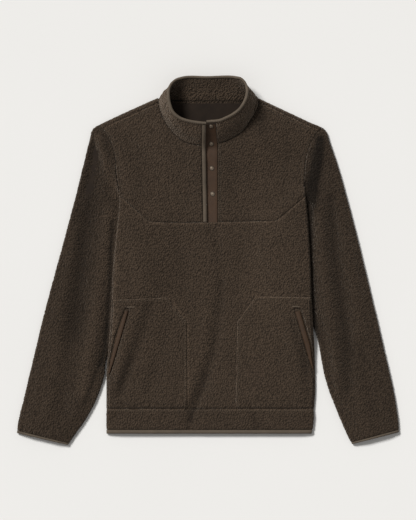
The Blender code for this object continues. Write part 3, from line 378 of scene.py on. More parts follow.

# Creases as read from the photograph, with the points in pixels: half width, height (a trough is
# below zero), how much lighter or darker they are painted (painted light and shade), and the points
# that they run through.
FRONT_CREASES = (
    (11.0, -2.8, -0.17, ((222, 284), (219, 320), (214, 350), (204, 383), (194, 405), (189, 422))),
    (7.0, -1.5, -0.15, ((207, 376), (197, 402), (191, 420))),
    (8.0, -1.4, -0.12, ((131, 360), (121, 392))),
    (14.0, 2.2, 0.1, ((207, 316), (201, 352), (192, 385), (184, 402))),
    (9.0, -1.4, -0.08, ((216, 226), (218, 262), (222, 284))),
    (16.0, 1.3, 0.05, ((202, 230), (205, 270), (208, 300))),
    (10.0, -2.7, -0.17, ((149, 306), (142, 335), (130, 367), (119, 395))),
    (12.0, 2.2, 0.13, ((137, 314), (128, 342), (117, 378))),
    (8.0, 1.2, 0.2, ((116, 218), (117, 262), (115, 298))),
    (8.0, 0.9, 0.3, ((115, 302), (115, 322), (111, 342))),
    (14.0, -1.3, -0.06, ((170, 322), (163, 352), (150, 388))),
    (12.0, 1.1, 0.04, ((158, 318), (152, 350), (140, 385))),
    (9.0, -1.8, -0.22, ((292, 322), (300, 345), (306, 372))),
    (9.0, -1.0, -0.14, ((305, 345), (307, 400))),
    (36.0, 1.8, 0.1, ((268, 305), (264, 352), (262, 400))),
    (12.0, -1.2, -0.05, ((284, 330), (280, 365), (276, 395))),
    (40.0, 1.4, 0.08, ((276, 235), (272, 262), (262, 292))),
    (12.0, -1.0, -0.05, ((243, 240), (238, 262), (236, 290))),
    (13.0, -1.2, -0.07, ((146, 240), (152, 262), (160, 290))),
    (14.0, 1.1, 0.04, ((132, 238), (136, 262), (140, 292))),
    (12.0, -1.0, -0.06, ((178, 236), (182, 262), (186, 292))),
    (10.0, -1.2, -0.14, ((250, 408), (254, 418), (258, 427))),
    (8.0, -1.0, -0.12, ((118, 410), (114, 418))),
    (14.0, 1.2, 0.06, ((150, 412), (160, 422))),
    (18.0, -1.4, -0.12, ((128, 142), (140, 178), (134, 205))),
    (18.0, 1.1, 0.04, ((160, 150), (163, 180), (158, 212))),
    (14.0, -1.0, -0.05, ((184, 158), (186, 188), (184, 215))),
    (16.0, -1.1, -0.05, ((236, 150), (232, 182), (236, 214))),
    (18.0, 1.2, 0.04, ((262, 142), (266, 178), (262, 212))),
    (14.0, -1.2, -0.1, ((289, 148), (289, 172), (285, 196))),
    (9.0, -1.6, -0.1, ((107, 148), (113, 170), (121, 193))),
    # painted shadow of the collar on the right shoulder
    (16.0, -1.4, -0.26, ((258, 98), (264, 112), (262, 130))),
)
SLEEVE_CREASES = (
    (24.0, -4.0, -0.29, ((96, 150), (90, 190), (84, 240), (79, 285), (74, 330))),
    (15.0, 2.8, 0.29, ((110, 212), (105, 255), (99, 300), (91, 345), (83, 392))),
    (10.0, 2.4, 0.36, ((98, 138), (107, 165), (117, 196))),
    (16.0, -1.8, -0.08, ((70, 345), (66, 380), (63, 415))),
    (14.0, 1.8, 0.05, ((60, 340), (53, 380), (46, 415))),
    (12.0, 1.4, 0.05, ((76, 230), (68, 290), (60, 330))),
    # the next three paint the shade in the gap between the left sleeve and the body
    (4.0, -2.4, -0.45, ((113, 222), (111.5, 250), (110, 290), (107.5, 325))),
    (6.0, -2.4, -0.55, ((107, 328), (105, 350), (101, 364))),
    (5.0, -1.2, -0.22, ((101, 364), (94, 380), (86, 402))),
    # the next three paint the shadow that the body casts on the right sleeve
    (10.0, -1.2, -0.75, ((320, 140), (317.5, 160), (313, 182), (310, 205))),
    (14.0, 0.0, -0.3, ((317, 155), (313, 180), (312, 200))),
    (7.0, -4.2, -0.6, ((310, 205), (311, 260), (313, 300), (316, 338))),
    (12.0, 2.6, 0.1, ((320, 222), (324, 270), (330, 315), (335, 355), (339, 390))),
    (13.0, -3.4, -0.24, ((331, 200), (336, 262), (342, 305), (348, 345), (349, 388))),
    (15.0, 2.0, 0.08, ((340, 190), (347, 240), (354, 285), (361, 330))),
    (14.0, -1.6, -0.08, ((362, 350), (370, 390), (376, 420))),
    (14.0, 1.6, 0.05, ((352, 370), (360, 405), (366, 430))),
)


def from_pixels(rows):
    """The same rows with their points in millimetres."""
    middle_x, middle_y = PIXEL_MIDDLE
    return [
        (*row, [((x - middle_x) * PIXEL, (middle_y - y) * PIXEL) for x, y in points])
        for *row, points in rows
    ]


FRONT_DRAPE = from_pixels(FRONT_CREASES)
SLEEVE_DRAPE = from_pixels(SLEEVE_CREASES)

# Pile, seams and stitches
NUB_WIDTH = 3.3  # a knot of the pile across, along, and how high it stands
NUB_LENGTH = 4.2
NUB_HEIGHT = 1.15
PILE_MIDDLE = 0.45  # the share of full pile that lies level and has the cloth's own colour
SUNK_PILE = 0.35  # and that at a seam, which paints it darker there
PILE_PATCH = 38.0  # size of the patches where the pile stands higher or lower
EDGE_START = 0.6  # the pile rises from this far outside a seam, and over how much
EDGE_RAMP = 3.4
STITCH_START = 0.4  # and from this far beside a stitched line
STITCH_RAMP = 2.6
COVERED_DIP = 0.6  # how far the pile is pressed down under a pocket
SEAM_DIP = 1.3  # how far the pile sinks at a seam, and within what distance
SEAM_REACH = 2.0
STITCH_DIP = 0.8
STITCH_REACH = 1.5
STITCH_PITCH = 3.9
STITCH_LENGTH = 2.9
STITCH_THICK = 0.75
SLOPE_STEP = 0.5  # over which the slope under a thread is measured
FAR = 99.0  # the way to a stitched line where there is none

SEAM_PAINTED_SHADE = 0.32  # painted shade: how much darker the pile is painted at a seam, and at a stitched line
STITCH_PAINTED_SHADE = 0.2
DARK_WIDTH = 1.3
RIM_HIGHLIGHT = 0.62  # painted highlight: how much lighter it is painted on the rim beside a seam, where the edge catches the light
RIM_WIDTH = 2.3
RIM_IN = 2.0

# How far in from a side fold the creases reach their full height
FRONT_FADE = 12.0
BACK_FADE = 14.0
SLEEVE_FADE = 16.0

# Steps and counts of the meshes
PANEL_STEP = 6.0
SPLITS = 2  # how often a panel's triangles are split in four
RING_STEP = 1.7
RING_NEAR = (0.0, 0.5, 1.3, 2.4, 3.8, 5.4)  # ways in from the edge of a flattened tube
GRID_CLEAR = 0.35  # how far a grid point keeps from a marked loop, in steps
MARKED_CLEAR = 1.5  # how far an extra point does
ROW_CLEAR = 1.0  # and from the panel's own edge
FRONT_CLEAR = 0.62  # and how far a grid point keeps from that edge, in steps
YOKE_CLEAR = 0.55
ROWS_Y = 140.0  # where the extra points of the yokes follow those of the lower front
YOKE_ROWS_Y = 270.0  # and where they end
SHOULDER_COUNT = 24
SETTLE = 60  # rounds until a place on a slanted edge no longer moves
NECK_COLUMNS = 36
BACK_ROWS = 46
BAND_ROWS = 27
HEM_ROWS = 11
CUFF_ROWS = 7
SWEEP_SIDES = 16
CURVE_COUNT = 400
SHARP = math.radians(75.0)

# Folds pressed into the side that rests on the surface: half width, height, points.
BACK_FOLDS = (
    (14.0, 1.1, ((-60, 250), (-95, 120), (-90, -40))),
    (16.0, 0.9, ((70, 210), (60, 60), (85, -120))),
    (13.0, 1.2, ((10, -60), (-20, -190), (-15, -290))),
    (18.0, 0.8, ((150, -150), (140, -280))),
    (15.0, 1.0, ((-150, -90), (-165, -240))),
)
SLEEVE_UNDER_FOLDS = (
    (12.0, 1.1, ((-262, 170), (-282, 60), (-290, -20))),
    (14.0, 0.9, ((-320, -120), (-330, -260))),
    (12.0, 1.1, ((262, 190), (300, 40), (300, -60))),
    (15.0, 0.9, ((330, -110), (345, -290))),
)

# Creases of the collar: half width, height, and points as share along it and millimetres up it.
COLLAR_FOLDS = (
    (6.0, -1.2, ((0.08, 14), (0.20, 20), (0.30, 26))),
    (5.0, -1.0, ((0.45, 16), (0.52, 18), (0.58, 14))),
)

# Creases of its outer face alone, with their painted light and shade
COLLAR_CREASES = (
    # painted shadow where the collar's upper part overhangs its base
    (2.8, -3.2, -0.75, ((0.635, 38), (0.66, 27), (0.70, 17), (0.74, 11), (0.79, 8))),
    (5.0, 1.8, 0.35, ((0.655, 14), (0.69, 8), (0.73, 4))),
    (7.0, 1.2, 0.10, ((0.14, 24), (0.22, 28), (0.30, 30))),
    (6.0, -1.0, -0.10, ((0.05, 12), (0.12, 9), (0.19, 7))),
)


def clamp(value):
    """The value held between 0 and 1."""
    return np.clip(value, 0.0, 1.0)


def smoothstep(value):
    """0 up to 0, 1 from 1 on, and a smooth rise between."""
    t = clamp(value)
    return t * t * (3.0 - 2.0 * t)


def read(table, column, at):
    """One column of a table at a value of its first column, on a smooth curve through the rows."""
    rows = np.array(table, float)
    xs, ys = rows[:, 0], rows[:, column]
    slopes = np.gradient(ys, xs)
    at = np.clip(at, xs[0], xs[-1])
    k = np.clip(np.searchsorted(xs, at) - 1, 0, len(xs) - 2)
    step = xs[k + 1] - xs[k]
    t = (at - xs[k]) / step
    return (
        ys[k] * (1 + 2 * t) * (1 - t) ** 2
        + ys[k + 1] * (3 - 2 * t) * t**2
        + slopes[k] * step * t * (1 - t) ** 2
        - slopes[k + 1] * step * (1 - t) * t**2
    )


def shares(points):
    """How far along its line each point lies, from 0 to 1."""
    steps = np.linalg.norm(np.diff(points, axis=0), axis=1)
    return np.concatenate([[0.0], np.cumsum(steps)]) / steps.sum()


def polyline(points, at):
    """Points at the given shares of a line with corners."""
    points = np.array(points, float)
    length = shares(points)
    return np.column_stack([np.interp(at, length, column) for column in points.T])


def curve(points, at):
    """Points at the given shares of a smooth curve's length."""
    points = np.array(points, float)
    rows = np.column_stack([shares(points), points])
    fine = np.linspace(0.0, 1.0, CURVE_COUNT)
    return polyline(np.column_stack([read(rows, c + 1, fine) for c in range(points.shape[1])]), at)


def left_x(y):
    """The left side fold."""
    return read(BODY_SIDES, 1, y)


def right_x(y):
    """The right side fold."""
    return read(BODY_SIDES, 2, y)


def bell(way, width):
    """1 at 0, falling off softly to both sides over the width."""
    return np.exp(-((way / width) ** 2))


def rounded(way, reach):
    """0 at an edge, rising on a quarter of a circle to 1 at the reach."""
    return np.sqrt(1.0 - (1.0 - clamp(way / reach)) ** 2)


def side_x(side):
    """The side fold on one side, as a function of y."""
    return left_x if side < 0 else right_x


def side_distance(x, y):
    """How far in from the nearer side fold a place lies."""
    return np.minimum(x - left_x(y), right_x(y) - x)


def distance(x, y, line):
    """How far each place lies from a line of straight runs."""
    nearest = np.full(np.broadcast(x, y).shape, np.inf)
    for (x0, y0), (x1, y1) in zip(line[:-1], line[1:]):
        dx, dy = x1 - x0, y1 - y0
        t = clamp(((x - x0) * dx + (y - y0) * dy) / max(dx * dx + dy * dy, 1e-9))
        nearest = np.minimum(nearest, np.hypot(x - x0 - t * dx, y - y0 - t * dy))
    return nearest


def to_loop(x, y, loop):
    """How far each place lies from the outline of a loop."""
    return distance(x, y, np.vstack([loop, loop[:1]]))


def folds(rows, x, y, column=1):
    """The height of the soft folds at a place, or their painted light and shade."""
    total = np.zeros(np.broadcast(x, y).shape)
    for row in rows:
        total += row[column] * bell(distance(x, y, row[-1]), row[0])
    return total


def lift(x, y, ramp):
    """How far the sleeves under the body's sides lift it, with the given ramp beside them."""
    edge_l = np.maximum(read(TUCK_L, 1, y), left_x(y)) + TUCK_MARGIN
    edge_r = np.minimum(read(TUCK_R, 1, y), right_x(y)) - TUCK_MARGIN
    from_l = read(TUCK_L, 2, y) * smoothstep((edge_l + ramp - x) / ramp)
    from_r = read(TUCK_R, 2, y) * smoothstep((x - edge_r + ramp) / ramp)
    return RISE * clamp(np.maximum(from_l, from_r))


def neck_lift(x, y):
    """How far the standing collar lifts the front round the neck."""
    reach = np.hypot(x - NECK_CENTRE[0], (y - NECK_CENTRE[1]) * NECK_OVAL)
    near = smoothstep((NECK_REACH - reach) / NECK_RAMP)
    return NECK_LIFT * near * smoothstep((SHOULDER_Y - y) / SHOULDER_RAMP)


def placket_lift(x, y):
    """How far the upper side of the placket is lifted, because it lies on the under side."""
    across = bell(x - PLACKET_X, PLACKET_SPREAD)
    up = smoothstep((y - YOKE_Y + PLACKET_FADE) / PLACKET_RAMP)
    return np.where(x < 0.0, PLACKET_LIFT * across, 0.0) * up


def body(x, y):
    """Heights of the back's lower and upper face, then of the front's lower and upper face."""
    side = side_distance(x, y)
    base = lift(x, y, TUCK_RAMP)
    loose = AIR + folds(FRONT_FOLDS, x, y) + neck_lift(x, y) + placket_lift(x, y)
    loose = loose + lift(x, y, FRONT_RAMP) - base
    air = loose * smoothstep(side / AIR_RAMP)
    half = WALL + FACE_GAP / 2 + air / 2
    middle = base + half
    edge = SIDE_EDGE + (ARM_EDGE - SIDE_EDGE) * smoothstep((y - ARM_Y) / ARM_RAMP)
    outer = edge + (half - edge) * rounded(side, SIDE_ROUND)
    inner = FACE_GAP / 2 + air / 2
    drape = folds(FRONT_DRAPE, x, y) * clamp(side / FRONT_FADE)
    return middle - outer, middle - inner, middle + inner, middle + outer + drape


def front_top(x, y):
    """Height of the front's upper face."""
    return body(x, y)[3]


def front_under(x, y):
    """Height of the front's lower face."""
    return body(x, y)[2]


def front_middle(x, y):
    """Height of the middle of the front's cloth."""
    return (body(x, y)[2] + body(x, y)[3]) / 2


def back_middle(x, y):
    """Height of the middle of the back's cloth."""
    return (body(x, y)[0] + body(x, y)[1]) / 2


def inside_loop(points, loop):
    """Which points lie inside a loop."""
    inside = np.zeros(len(points), bool)
    for a, b in zip(loop, np.roll(loop, -1, axis=0)):
        crosses = (a[1] > points[:, 1]) != (b[1] > points[:, 1])
        rise = b[1] - a[1] if b[1] != a[1] else 1e-9
        inside ^= crosses & (points[:, 0] < (b[0] - a[0]) * (points[:, 1] - a[1]) / rise + a[0])
    return inside


def lay_out(loop, rows, clear, marked=()):
    """Points and triangles of a flat layout inside a loop, with extra rows of points.

    clear is how far the grid keeps from the loop, in steps. Marked loops inside it get edges too.
    """
    step = PANEL_STEP
    loops = [np.asarray(each, float) for each in (loop, *marked)]
    low, high = loops[0].min(axis=0), loops[0].max(axis=0)
    across, up = [np.arange(low[i] + step / 2, high[i], step) for i in (0, 1)]
    grid = np.stack(np.meshgrid(across, up), axis=-1).reshape(-1, 2)
    grid = grid[inside_loop(grid, loops[0]) & (to_loop(*grid.T, loops[0]) > clear * step)]
    extra = np.array(rows, float).reshape(-1, 2)
    extra = extra[inside_loop(extra, loops[0]) & (to_loop(*extra.T, loops[0]) > ROW_CLEAR)]
    for each in loops[1:]:
        grid = grid[to_loop(*grid.T, each) > GRID_CLEAR * step]
        extra = extra[to_loop(*extra.T, each) > MARKED_CLEAR]
    points, edges = [], []
    for each in loops:
        first = len(points)
        edges += [(first + i, first + (i + 1) % len(each)) for i in range(len(each))]
        points += [Vector(p) for p in each]
    points += [Vector(p) for p in np.vstack([extra, grid])]
    places, _, faces, _, _, _ = delaunay_2d_cdt(points, edges, [], 1, 1e-4)
    return np.array([tuple(p) for p in places]), [tuple(face) for face in faces]


def unit(vectors):
    """The same directions at a length of one."""
    return vectors / np.linalg.norm(vectors, axis=-1, keepdims=True)


def armhole(tip, side, end):
    """The seam from the shoulder tip down the body's side, and on to its hidden end."""
    y = np.array(ARMHOLE_POINTS_Y)
    return np.vstack([tip, np.column_stack([side_x(side)(y) + side * ARMHOLE_GAP, y]), end])


def sleeve_heights(x, y, side, edge, from_seam):
    """Lower and upper face of a sleeve. edge is the way in from its own edges, side is -1 or 1."""
    if side < 0:
        clear = np.minimum(left_x(y), read(TUCK_L, 1, y)) - x
        lifted = read(TUCK_L, 2, y)
    else:
        clear = x - np.maximum(right_x(y), read(TUCK_R, 1, y))
        lifted = read(TUCK_R, 2, y)
    free = smoothstep((clear - CROWN_START) / CROWN_RAMP)
    beside = free * smoothstep((edge - CROWN_START) / CROWN_RAMP)
    seam = smoothstep(1.0 - from_seam / SEAM_RAMP)
    base = RISE * lifted * seam * smoothstep((y - SEAM_LIFT_Y) / SEAM_LIFT_RAMP)
    beside_seam = beside * smoothstep((from_seam + SEAM_THIN) / (SEAM_THIN + 16.0))
    thick = SLEEVE_FLAT + (SLEEVE_CROWN + folds(SLEEVE_FOLDS, x, y)) * beside_seam
    thinner = 1 - clamp(from_seam / SEAM_THIN)
    above = smoothstep((y - SEAM_THIN_Y) / SEAM_THIN_RAMP)
    thick = thick - (SLEEVE_FLAT - 2 * ARM_EDGE) * thinner * above
    low = SLEEVE_FLAT / 2
    turn = rounded(edge, SLEEVE_ROUND)
    return base + low * (1 - turn), base + low + (thick - low) * turn


def side_rows(low_y, high_y):
    """Extra points of a panel where the body's side folds round over."""
    y = np.arange(low_y, high_y, PANEL_STEP)
    return [
        (x, at)
        for way in (*SIDE_WAYS[1:], 2 * SIDE_ROUND)
        for at, left, right in zip(y, left_x(y), right_x(y))
        for x in (left + way, right - way)
    ]


def side_points(edge, low_y, high_y):
    """Points at even steps along a side fold."""
    count = max(2, int(round(abs(high_y - low_y) / PANEL_STEP)) + 1)
    y = np.linspace(low_y, high_y, count)
    return np.column_stack([edge(y), y])


def collar_rows():
    """Points of the neck seam and of the collar's upper edge."""
    rows = np.array(COLLAR, float)
    seam_z = rows[:, 2] * front_middle(rows[:, 0], rows[:, 1])
    seam_z = seam_z + (1 - rows[:, 2]) * back_middle(rows[:, 0], rows[:, 1])
    return np.column_stack([rows[:, 0], rows[:, 1], seam_z]), rows[:, 3:6]


def tape_line():
    """Middle line of the placket tape, y and z, and the ends of its width."""
    flat_y = np.array(TAPE_FLAT_Y)
    flat_z = front_middle(np.full(len(flat_y), UNDER_EDGE_X + 2), flat_y) - TAPE_SINK
    foot_y, foot_z = flat_y[-1], flat_z[-1]
    top_z, top_y = TAPE_TOP
    share = np.array(TAPE_RISE)
    up_y = foot_y + share * (top_y - foot_y)
    up_z = foot_z + (top_z - foot_z) * share**1.25
    y = np.concatenate([flat_y, up_y])
    z = np.concatenate([flat_z, up_z])
    right = np.interp(y, [YOKE_Y, 244.0, 290.0], [19.6, 19.4, 14.6])
    return y, z, np.full(len(y), TAPE_LEFT_X), right


def chance(a, b, seed):
    """A repeatable value from 0 to 1 for each pair of whole numbers."""
    mixed = np.sin(a * 127.1 + b * 311.7 + seed * 74.7) * 43758.5453
    return mixed - np.floor(mixed)


def drift(x, y, size, seed):
    """Soft uneven values from -1 to 1 in lumps of the given size."""
    gx, gy = x / size, y / size
    cx, cy = np.floor(gx), np.floor(gy)
    tx, ty = smoothstep(gx - cx), smoothstep(gy - cy)
    low = chance(cx, cy, seed) * (1 - tx) + chance(cx + 1, cy, seed) * tx
    high = chance(cx, cy + 1, seed) * (1 - tx) + chance(cx + 1, cy + 1, seed) * tx
    return 2 * (low * (1 - ty) + high * ty) - 1


def plain(count):
    """The pile's depth, and no painted light or shade, where a surface has no pile."""
    return np.tile((PILE_MIDDLE, 1.0), (count, 1))


def nubs(across, along, seed):
    """Pebbled pile: knots of fibre of uneven size, place and height, from 0 to 1."""
    across, along = (
        across + 1.5 * drift(across, along, 8.0, seed + 1),
        along + 2.2 * drift(across, along, 10.0, seed + 2),
    )
    gx, gy = across / NUB_WIDTH, along / NUB_LENGTH
    cx, cy = np.floor(gx), np.floor(gy)
    best = np.zeros(gx.shape)
    for i in (-1, 0, 1):
        for j in (-1, 0, 1):
            nx, ny = cx + i, cy + j
            px = nx + 0.5 + 0.75 * (chance(nx, ny, seed) - 0.5)
            py = ny + 0.5 + 0.75 * (chance(nx, ny, seed + 3) - 0.5)
            size = 0.50 + 0.28 * chance(nx, ny, seed + 5)
            reach = 1 - ((gx - px) ** 2 + (gy - py) ** 2) / size**2
            tall = 0.5 + 0.5 * chance(nx, ny, seed + 7)
            best = np.maximum(best, tall * np.sqrt(clamp(reach)))
    return best


def pile(across, along, edge, stitched, seed):
    """Relief of the fleece and its share of full pile, with seams and stitches sunk into it."""
    calm = smoothstep((edge + EDGE_START) / EDGE_RAMP)
    calm = calm * smoothstep((stitched - STITCH_START) / STITCH_RAMP)
    full = nubs(across, along, seed)
    uneven = 0.9 + 0.15 * drift(across, along, PILE_PATCH, seed + 11)
    height = NUB_HEIGHT * (full - PILE_MIDDLE) * calm * uneven
    height = height - SEAM_DIP * bell(edge, SEAM_REACH)
    height = height - STITCH_DIP * bell(stitched, STITCH_REACH)
    return height, full * calm + SUNK_PILE * (1 - calm)


def all_edges(faces):
    """The two ends of each side of each triangle."""
    return np.vstack([faces[:, [0, 1]], faces[:, [1, 2]], faces[:, [2, 0]]])


def open_edges(faces):
    """The edges that only one triangle has, in its own direction."""
    ends = all_edges(faces)
    _, first, count = np.unique(
        np.sort(ends, axis=1), axis=0, return_index=True, return_counts=True
    )
    return ends[first[count == 1]]


def refine(places, faces):
    """Each triangle split in four, SPLITS times, and the points that lie along each open edge."""
    chains = {tuple(edge): list(edge) for edge in open_edges(faces).tolist()}
    for _ in range(SPLITS):
        ends = np.sort(all_edges(faces), axis=1)
        pairs, which = np.unique(ends, axis=0, return_inverse=True)
        first = len(places)
        ab, bc, ca = which.reshape(3, -1) + first
        middle = {tuple(pair): first + i for i, pair in enumerate(pairs.tolist())}
        for key, chain in chains.items():
            longer = [chain[0]]
            for a, b in zip(chain[:-1], chain[1:]):
                longer += [middle[(min(a, b), max(a, b))], b]
            chains[key] = longer
        a, b, c = faces.T
        places = np.vstack([places, places[pairs].mean(axis=1)])
        corners = ((a, ab, ca), (ab, b, bc), (ca, bc, c), (ab, bc, ca))
        faces = np.vstack([np.column_stack(each) for each in corners])
    return places, faces, chains


def normals(points, faces):
    """Which way a sheet faces at each point."""
    a, b, c = (points[faces[:, i]] for i in range(3))
    each = np.cross(b - a, c - a)
    total = np.zeros(points.shape)
    for i in range(3):
        for axis in range(3):
            total[:, axis] += np.bincount(faces[:, i], each[:, axis], len(points))
    return unit(total + (0.0, 0.0, 1e-12))


def grid(rows, columns, first=0, closed=False):
    """Triangles of a grid of points. Closed joins the last column to the first."""
    index = first + np.arange(rows * columns).reshape(rows, columns)
    before = index if closed else index[:, :-1]
    after = np.roll(index, -1, axis=1) if closed else index[:, 1:]
    a, b, c, d = before[:-1], after[:-1], after[1:], before[1:]
    halves = [np.stack(each, axis=-1).reshape(-1, 3) for each in ((a, b, c), (a, c, d))]
    return np.vstack(halves)


def swelled(outer, height, way=1, closed=True):
    """A grid of points moved out from its surface, or in for a way of -1."""
    out = way * normals(outer.reshape(-1, 3), grid(*outer.shape[:2], closed=closed))
    return outer + (out * np.ravel(height)[:, None]).reshape(outer.shape)


def put(name, points, parts, slot, shade=None, packed=True):
    """A closed piece from points in millimetres, and triangles with the material of each part.

    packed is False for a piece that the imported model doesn't have.
    """
    mesh = bpy.data.meshes.new(f"shown_{name}")
    faces = np.vstack([part for part, _ in parts])
    mesh.from_pydata((points * MM).tolist(), [], faces.tolist())
    for _, surface in parts:
        mesh.materials.append(surface)
    which = np.repeat(np.arange(len(parts)), [len(part) for part, _ in parts])
    mesh.polygons.foreach_set("material_index", which.astype(np.int32))
    values = plain(len(points)) if shade is None else shade
    # the pile's depth, which paints shade low in the pile, and the painted light and shade
    for column, attribute in enumerate(("pile", "painted_light")):
        own = mesh.attributes.new(attribute, "FLOAT", "POINT")
        own.data.foreach_set("value", np.ascontiguousarray(values[:, column]))
    built = bmesh.new()
    built.from_mesh(mesh)
    bmesh.ops.recalc_face_normals(built, faces=built.faces)
    if built.calc_volume(signed=True) < 0:
        bmesh.ops.reverse_faces(built, faces=built.faces)
    built.to_mesh(mesh)
    built.free()
    mesh.shade_smooth()
    mesh.set_sharp_from_angle(angle=SHARP)
    made = bpy.data.objects.new(mesh.name, mesh)
    bpy.context.scene.collection.objects.link(made)
    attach(made, "root")
    if packed:
        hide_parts(name)


def slab(name, outer, inner, cloth, shade=None, kept=None):
    """A closed sheet between two like grids of points, of which only the kept cells are cloth."""
    over, under, slot = cloth
    faces = grid(*outer.shape[:2])
    if kept is not None:
        faces = faces[np.tile(kept.ravel(), 2)]
    points = np.vstack([outer.reshape(-1, 3), inner.reshape(-1, 3)])
    count = len(points) // 2
    a, b = open_edges(faces).T
    walls = [np.column_stack([b, a, a + count]), np.column_stack([b, a + count, b + count])]
    all_faces = np.vstack([faces, faces[:, ::-1] + count, *walls])
    used, order = np.unique(all_faces, return_inverse=True)
    near, far, walls = np.split(order.reshape(-1, 3), [len(faces), 2 * len(faces)])
    shade = None if shade is None else shade[used]
    put(name, points[used], [(near, over), (far, under), (walls, over)], slot, shade)


def tube(name, outer, inner, cloth, shade):
    """A closed wall between an outer and an inner run of rings, open at both ends."""
    over, under, slot = cloth
    rows, around = outer.shape[:2]
    deep = len(inner)
    count = rows * around
    points = np.vstack([outer.reshape(-1, 3), inner.reshape(-1, 3)])
    ends = []
    for near, far in ((0, count), ((rows - 1) * around, count + (deep - 1) * around)):
        a = near + np.arange(around)
        b = near + np.roll(np.arange(around), -1)
        c, d = b - near + far, a - near + far
        ends += [np.column_stack([a, b, c]), np.column_stack([a, c, d])]
    parts = [
        (grid(rows, around, closed=True), over),
        (grid(deep, around, count, closed=True)[:, ::-1], under),
        (np.vstack(ends), over),
    ]
    put(name, points, parts, slot, np.vstack([shade, plain(deep * around)]))


def sweep(name, centres, across, up, width, height, cloth):
    """A bound edge: an oval section along a line, closed at both ends."""
    sides, rows = SWEEP_SIDES, len(centres)
    turns = np.arange(sides) / sides * math.tau + math.pi / sides
    ring = (
        centres[:, None]
        + across[:, None] * np.cos(turns)[None, :, None] * width / 2
        + up[:, None] * np.sin(turns)[None, :, None] * height / 2
    )
    caps = [
        np.array([(first, first + i + 1, first + i + 2)[::order] for i in range(sides - 2)])
        for first, order in ((0, 1), ((rows - 1) * sides, -1))
    ]
    faces = np.vstack([grid(rows, sides, closed=True), *caps])
    put(name, ring.reshape(-1, 3), [(faces, cloth[0])], cloth[2])


def compact(places, faces):
    """The same triangles with only the points that they use."""
    used, faces = np.unique(np.array(faces), return_inverse=True)
    return places[used], faces.reshape(-1, 3)


def panel(name, layout, under, over, loop, lines, rims, cloth, seed, covers=()):
    """A cut piece over a flat layout: a fine upper face with its pile, and a plain lower one.

    lines are its stitched lines, rims those along which a highlight is painted, and covers the
    outlines of what is sewn on it, where its pile lies flat.
    """
    over_look, under_look, slot = cloth
    places, faces = compact(*layout)
    fine, fine_faces, chains = refine(places, faces)
    x, y = fine.T
    edge = to_loop(x, y, loop)
    stitched = np.full(len(fine), FAR)
    for line in lines:
        stitched = np.minimum(stitched, distance(x, y, line))
    height, depth = pile(x, y, edge, stitched, seed)
    for cover in covers:
        hidden = inside_loop(fine, cover) * smoothstep(to_loop(x, y, cover) / 2.0)
        height = height * (1 - hidden) - COVERED_DIP * hidden
    top = np.column_stack([x, y, over(x, y)])
    top = top + normals(top, fine_faces) * height[:, None]
    count = len(top)
    low = np.column_stack([places, under(*places.T)])
    walls = []
    for (a, b), chain in chains.items():
        half = len(chain) // 2
        for i, (p, q) in enumerate(zip(chain[:-1], chain[1:])):
            walls.append((q, p, (a if i < half else b) + count))
        walls.append((chain[half], a + count, b + count))
    # Painted shade at the seam and at stitched lines, with the painted light and shade of the
    # creases.
    painted_light = 1.0 + folds(FRONT_DRAPE, x, y, 2) - SEAM_PAINTED_SHADE * bell(edge, DARK_WIDTH)
    painted_light = painted_light - STITCH_PAINTED_SHADE * bell(stitched, DARK_WIDTH)
    # A painted highlight along each rim, where the edge catches the light.
    highlight_or_pressed_fold = RIM_HIGHLIGHT * (0.8 + 0.35 * drift(x, y, 17.0, seed + 13))
    for rim in rims:
        painted_light = painted_light + highlight_or_pressed_fold * bell(distance(x, y, rim), RIM_WIDTH)
    shade = np.vstack([np.column_stack([depth, painted_light]), plain(len(low))])
    backs = faces[:, ::-1] + count
    parts = [(fine_faces, over_look), (backs, under_look), (np.array(walls), over_look)]
    put(name, np.vstack([top, low]), parts, slot, shade)


def beside(points, way):
    """The line moved sideways, to its left for a positive way."""
    along = unit(np.gradient(points, axis=0))
    return points + way * np.column_stack([-along[:, 1], along[:, 0]])


def even(points, step=STITCH_PITCH, corners=True):
    """Points at even steps along a line."""
    points = np.array(points, float)
    length = np.linalg.norm(np.diff(points, axis=0), axis=1).sum()
    at = np.linspace(0.0, 1.0, max(2, int(round(length / step)) + 1))
    return polyline(points, at) if corners else curve(points, at)


def yoke_line():
    """The yoke seam in even steps."""
    return even(YOKE_SEAM, PANEL_STEP)


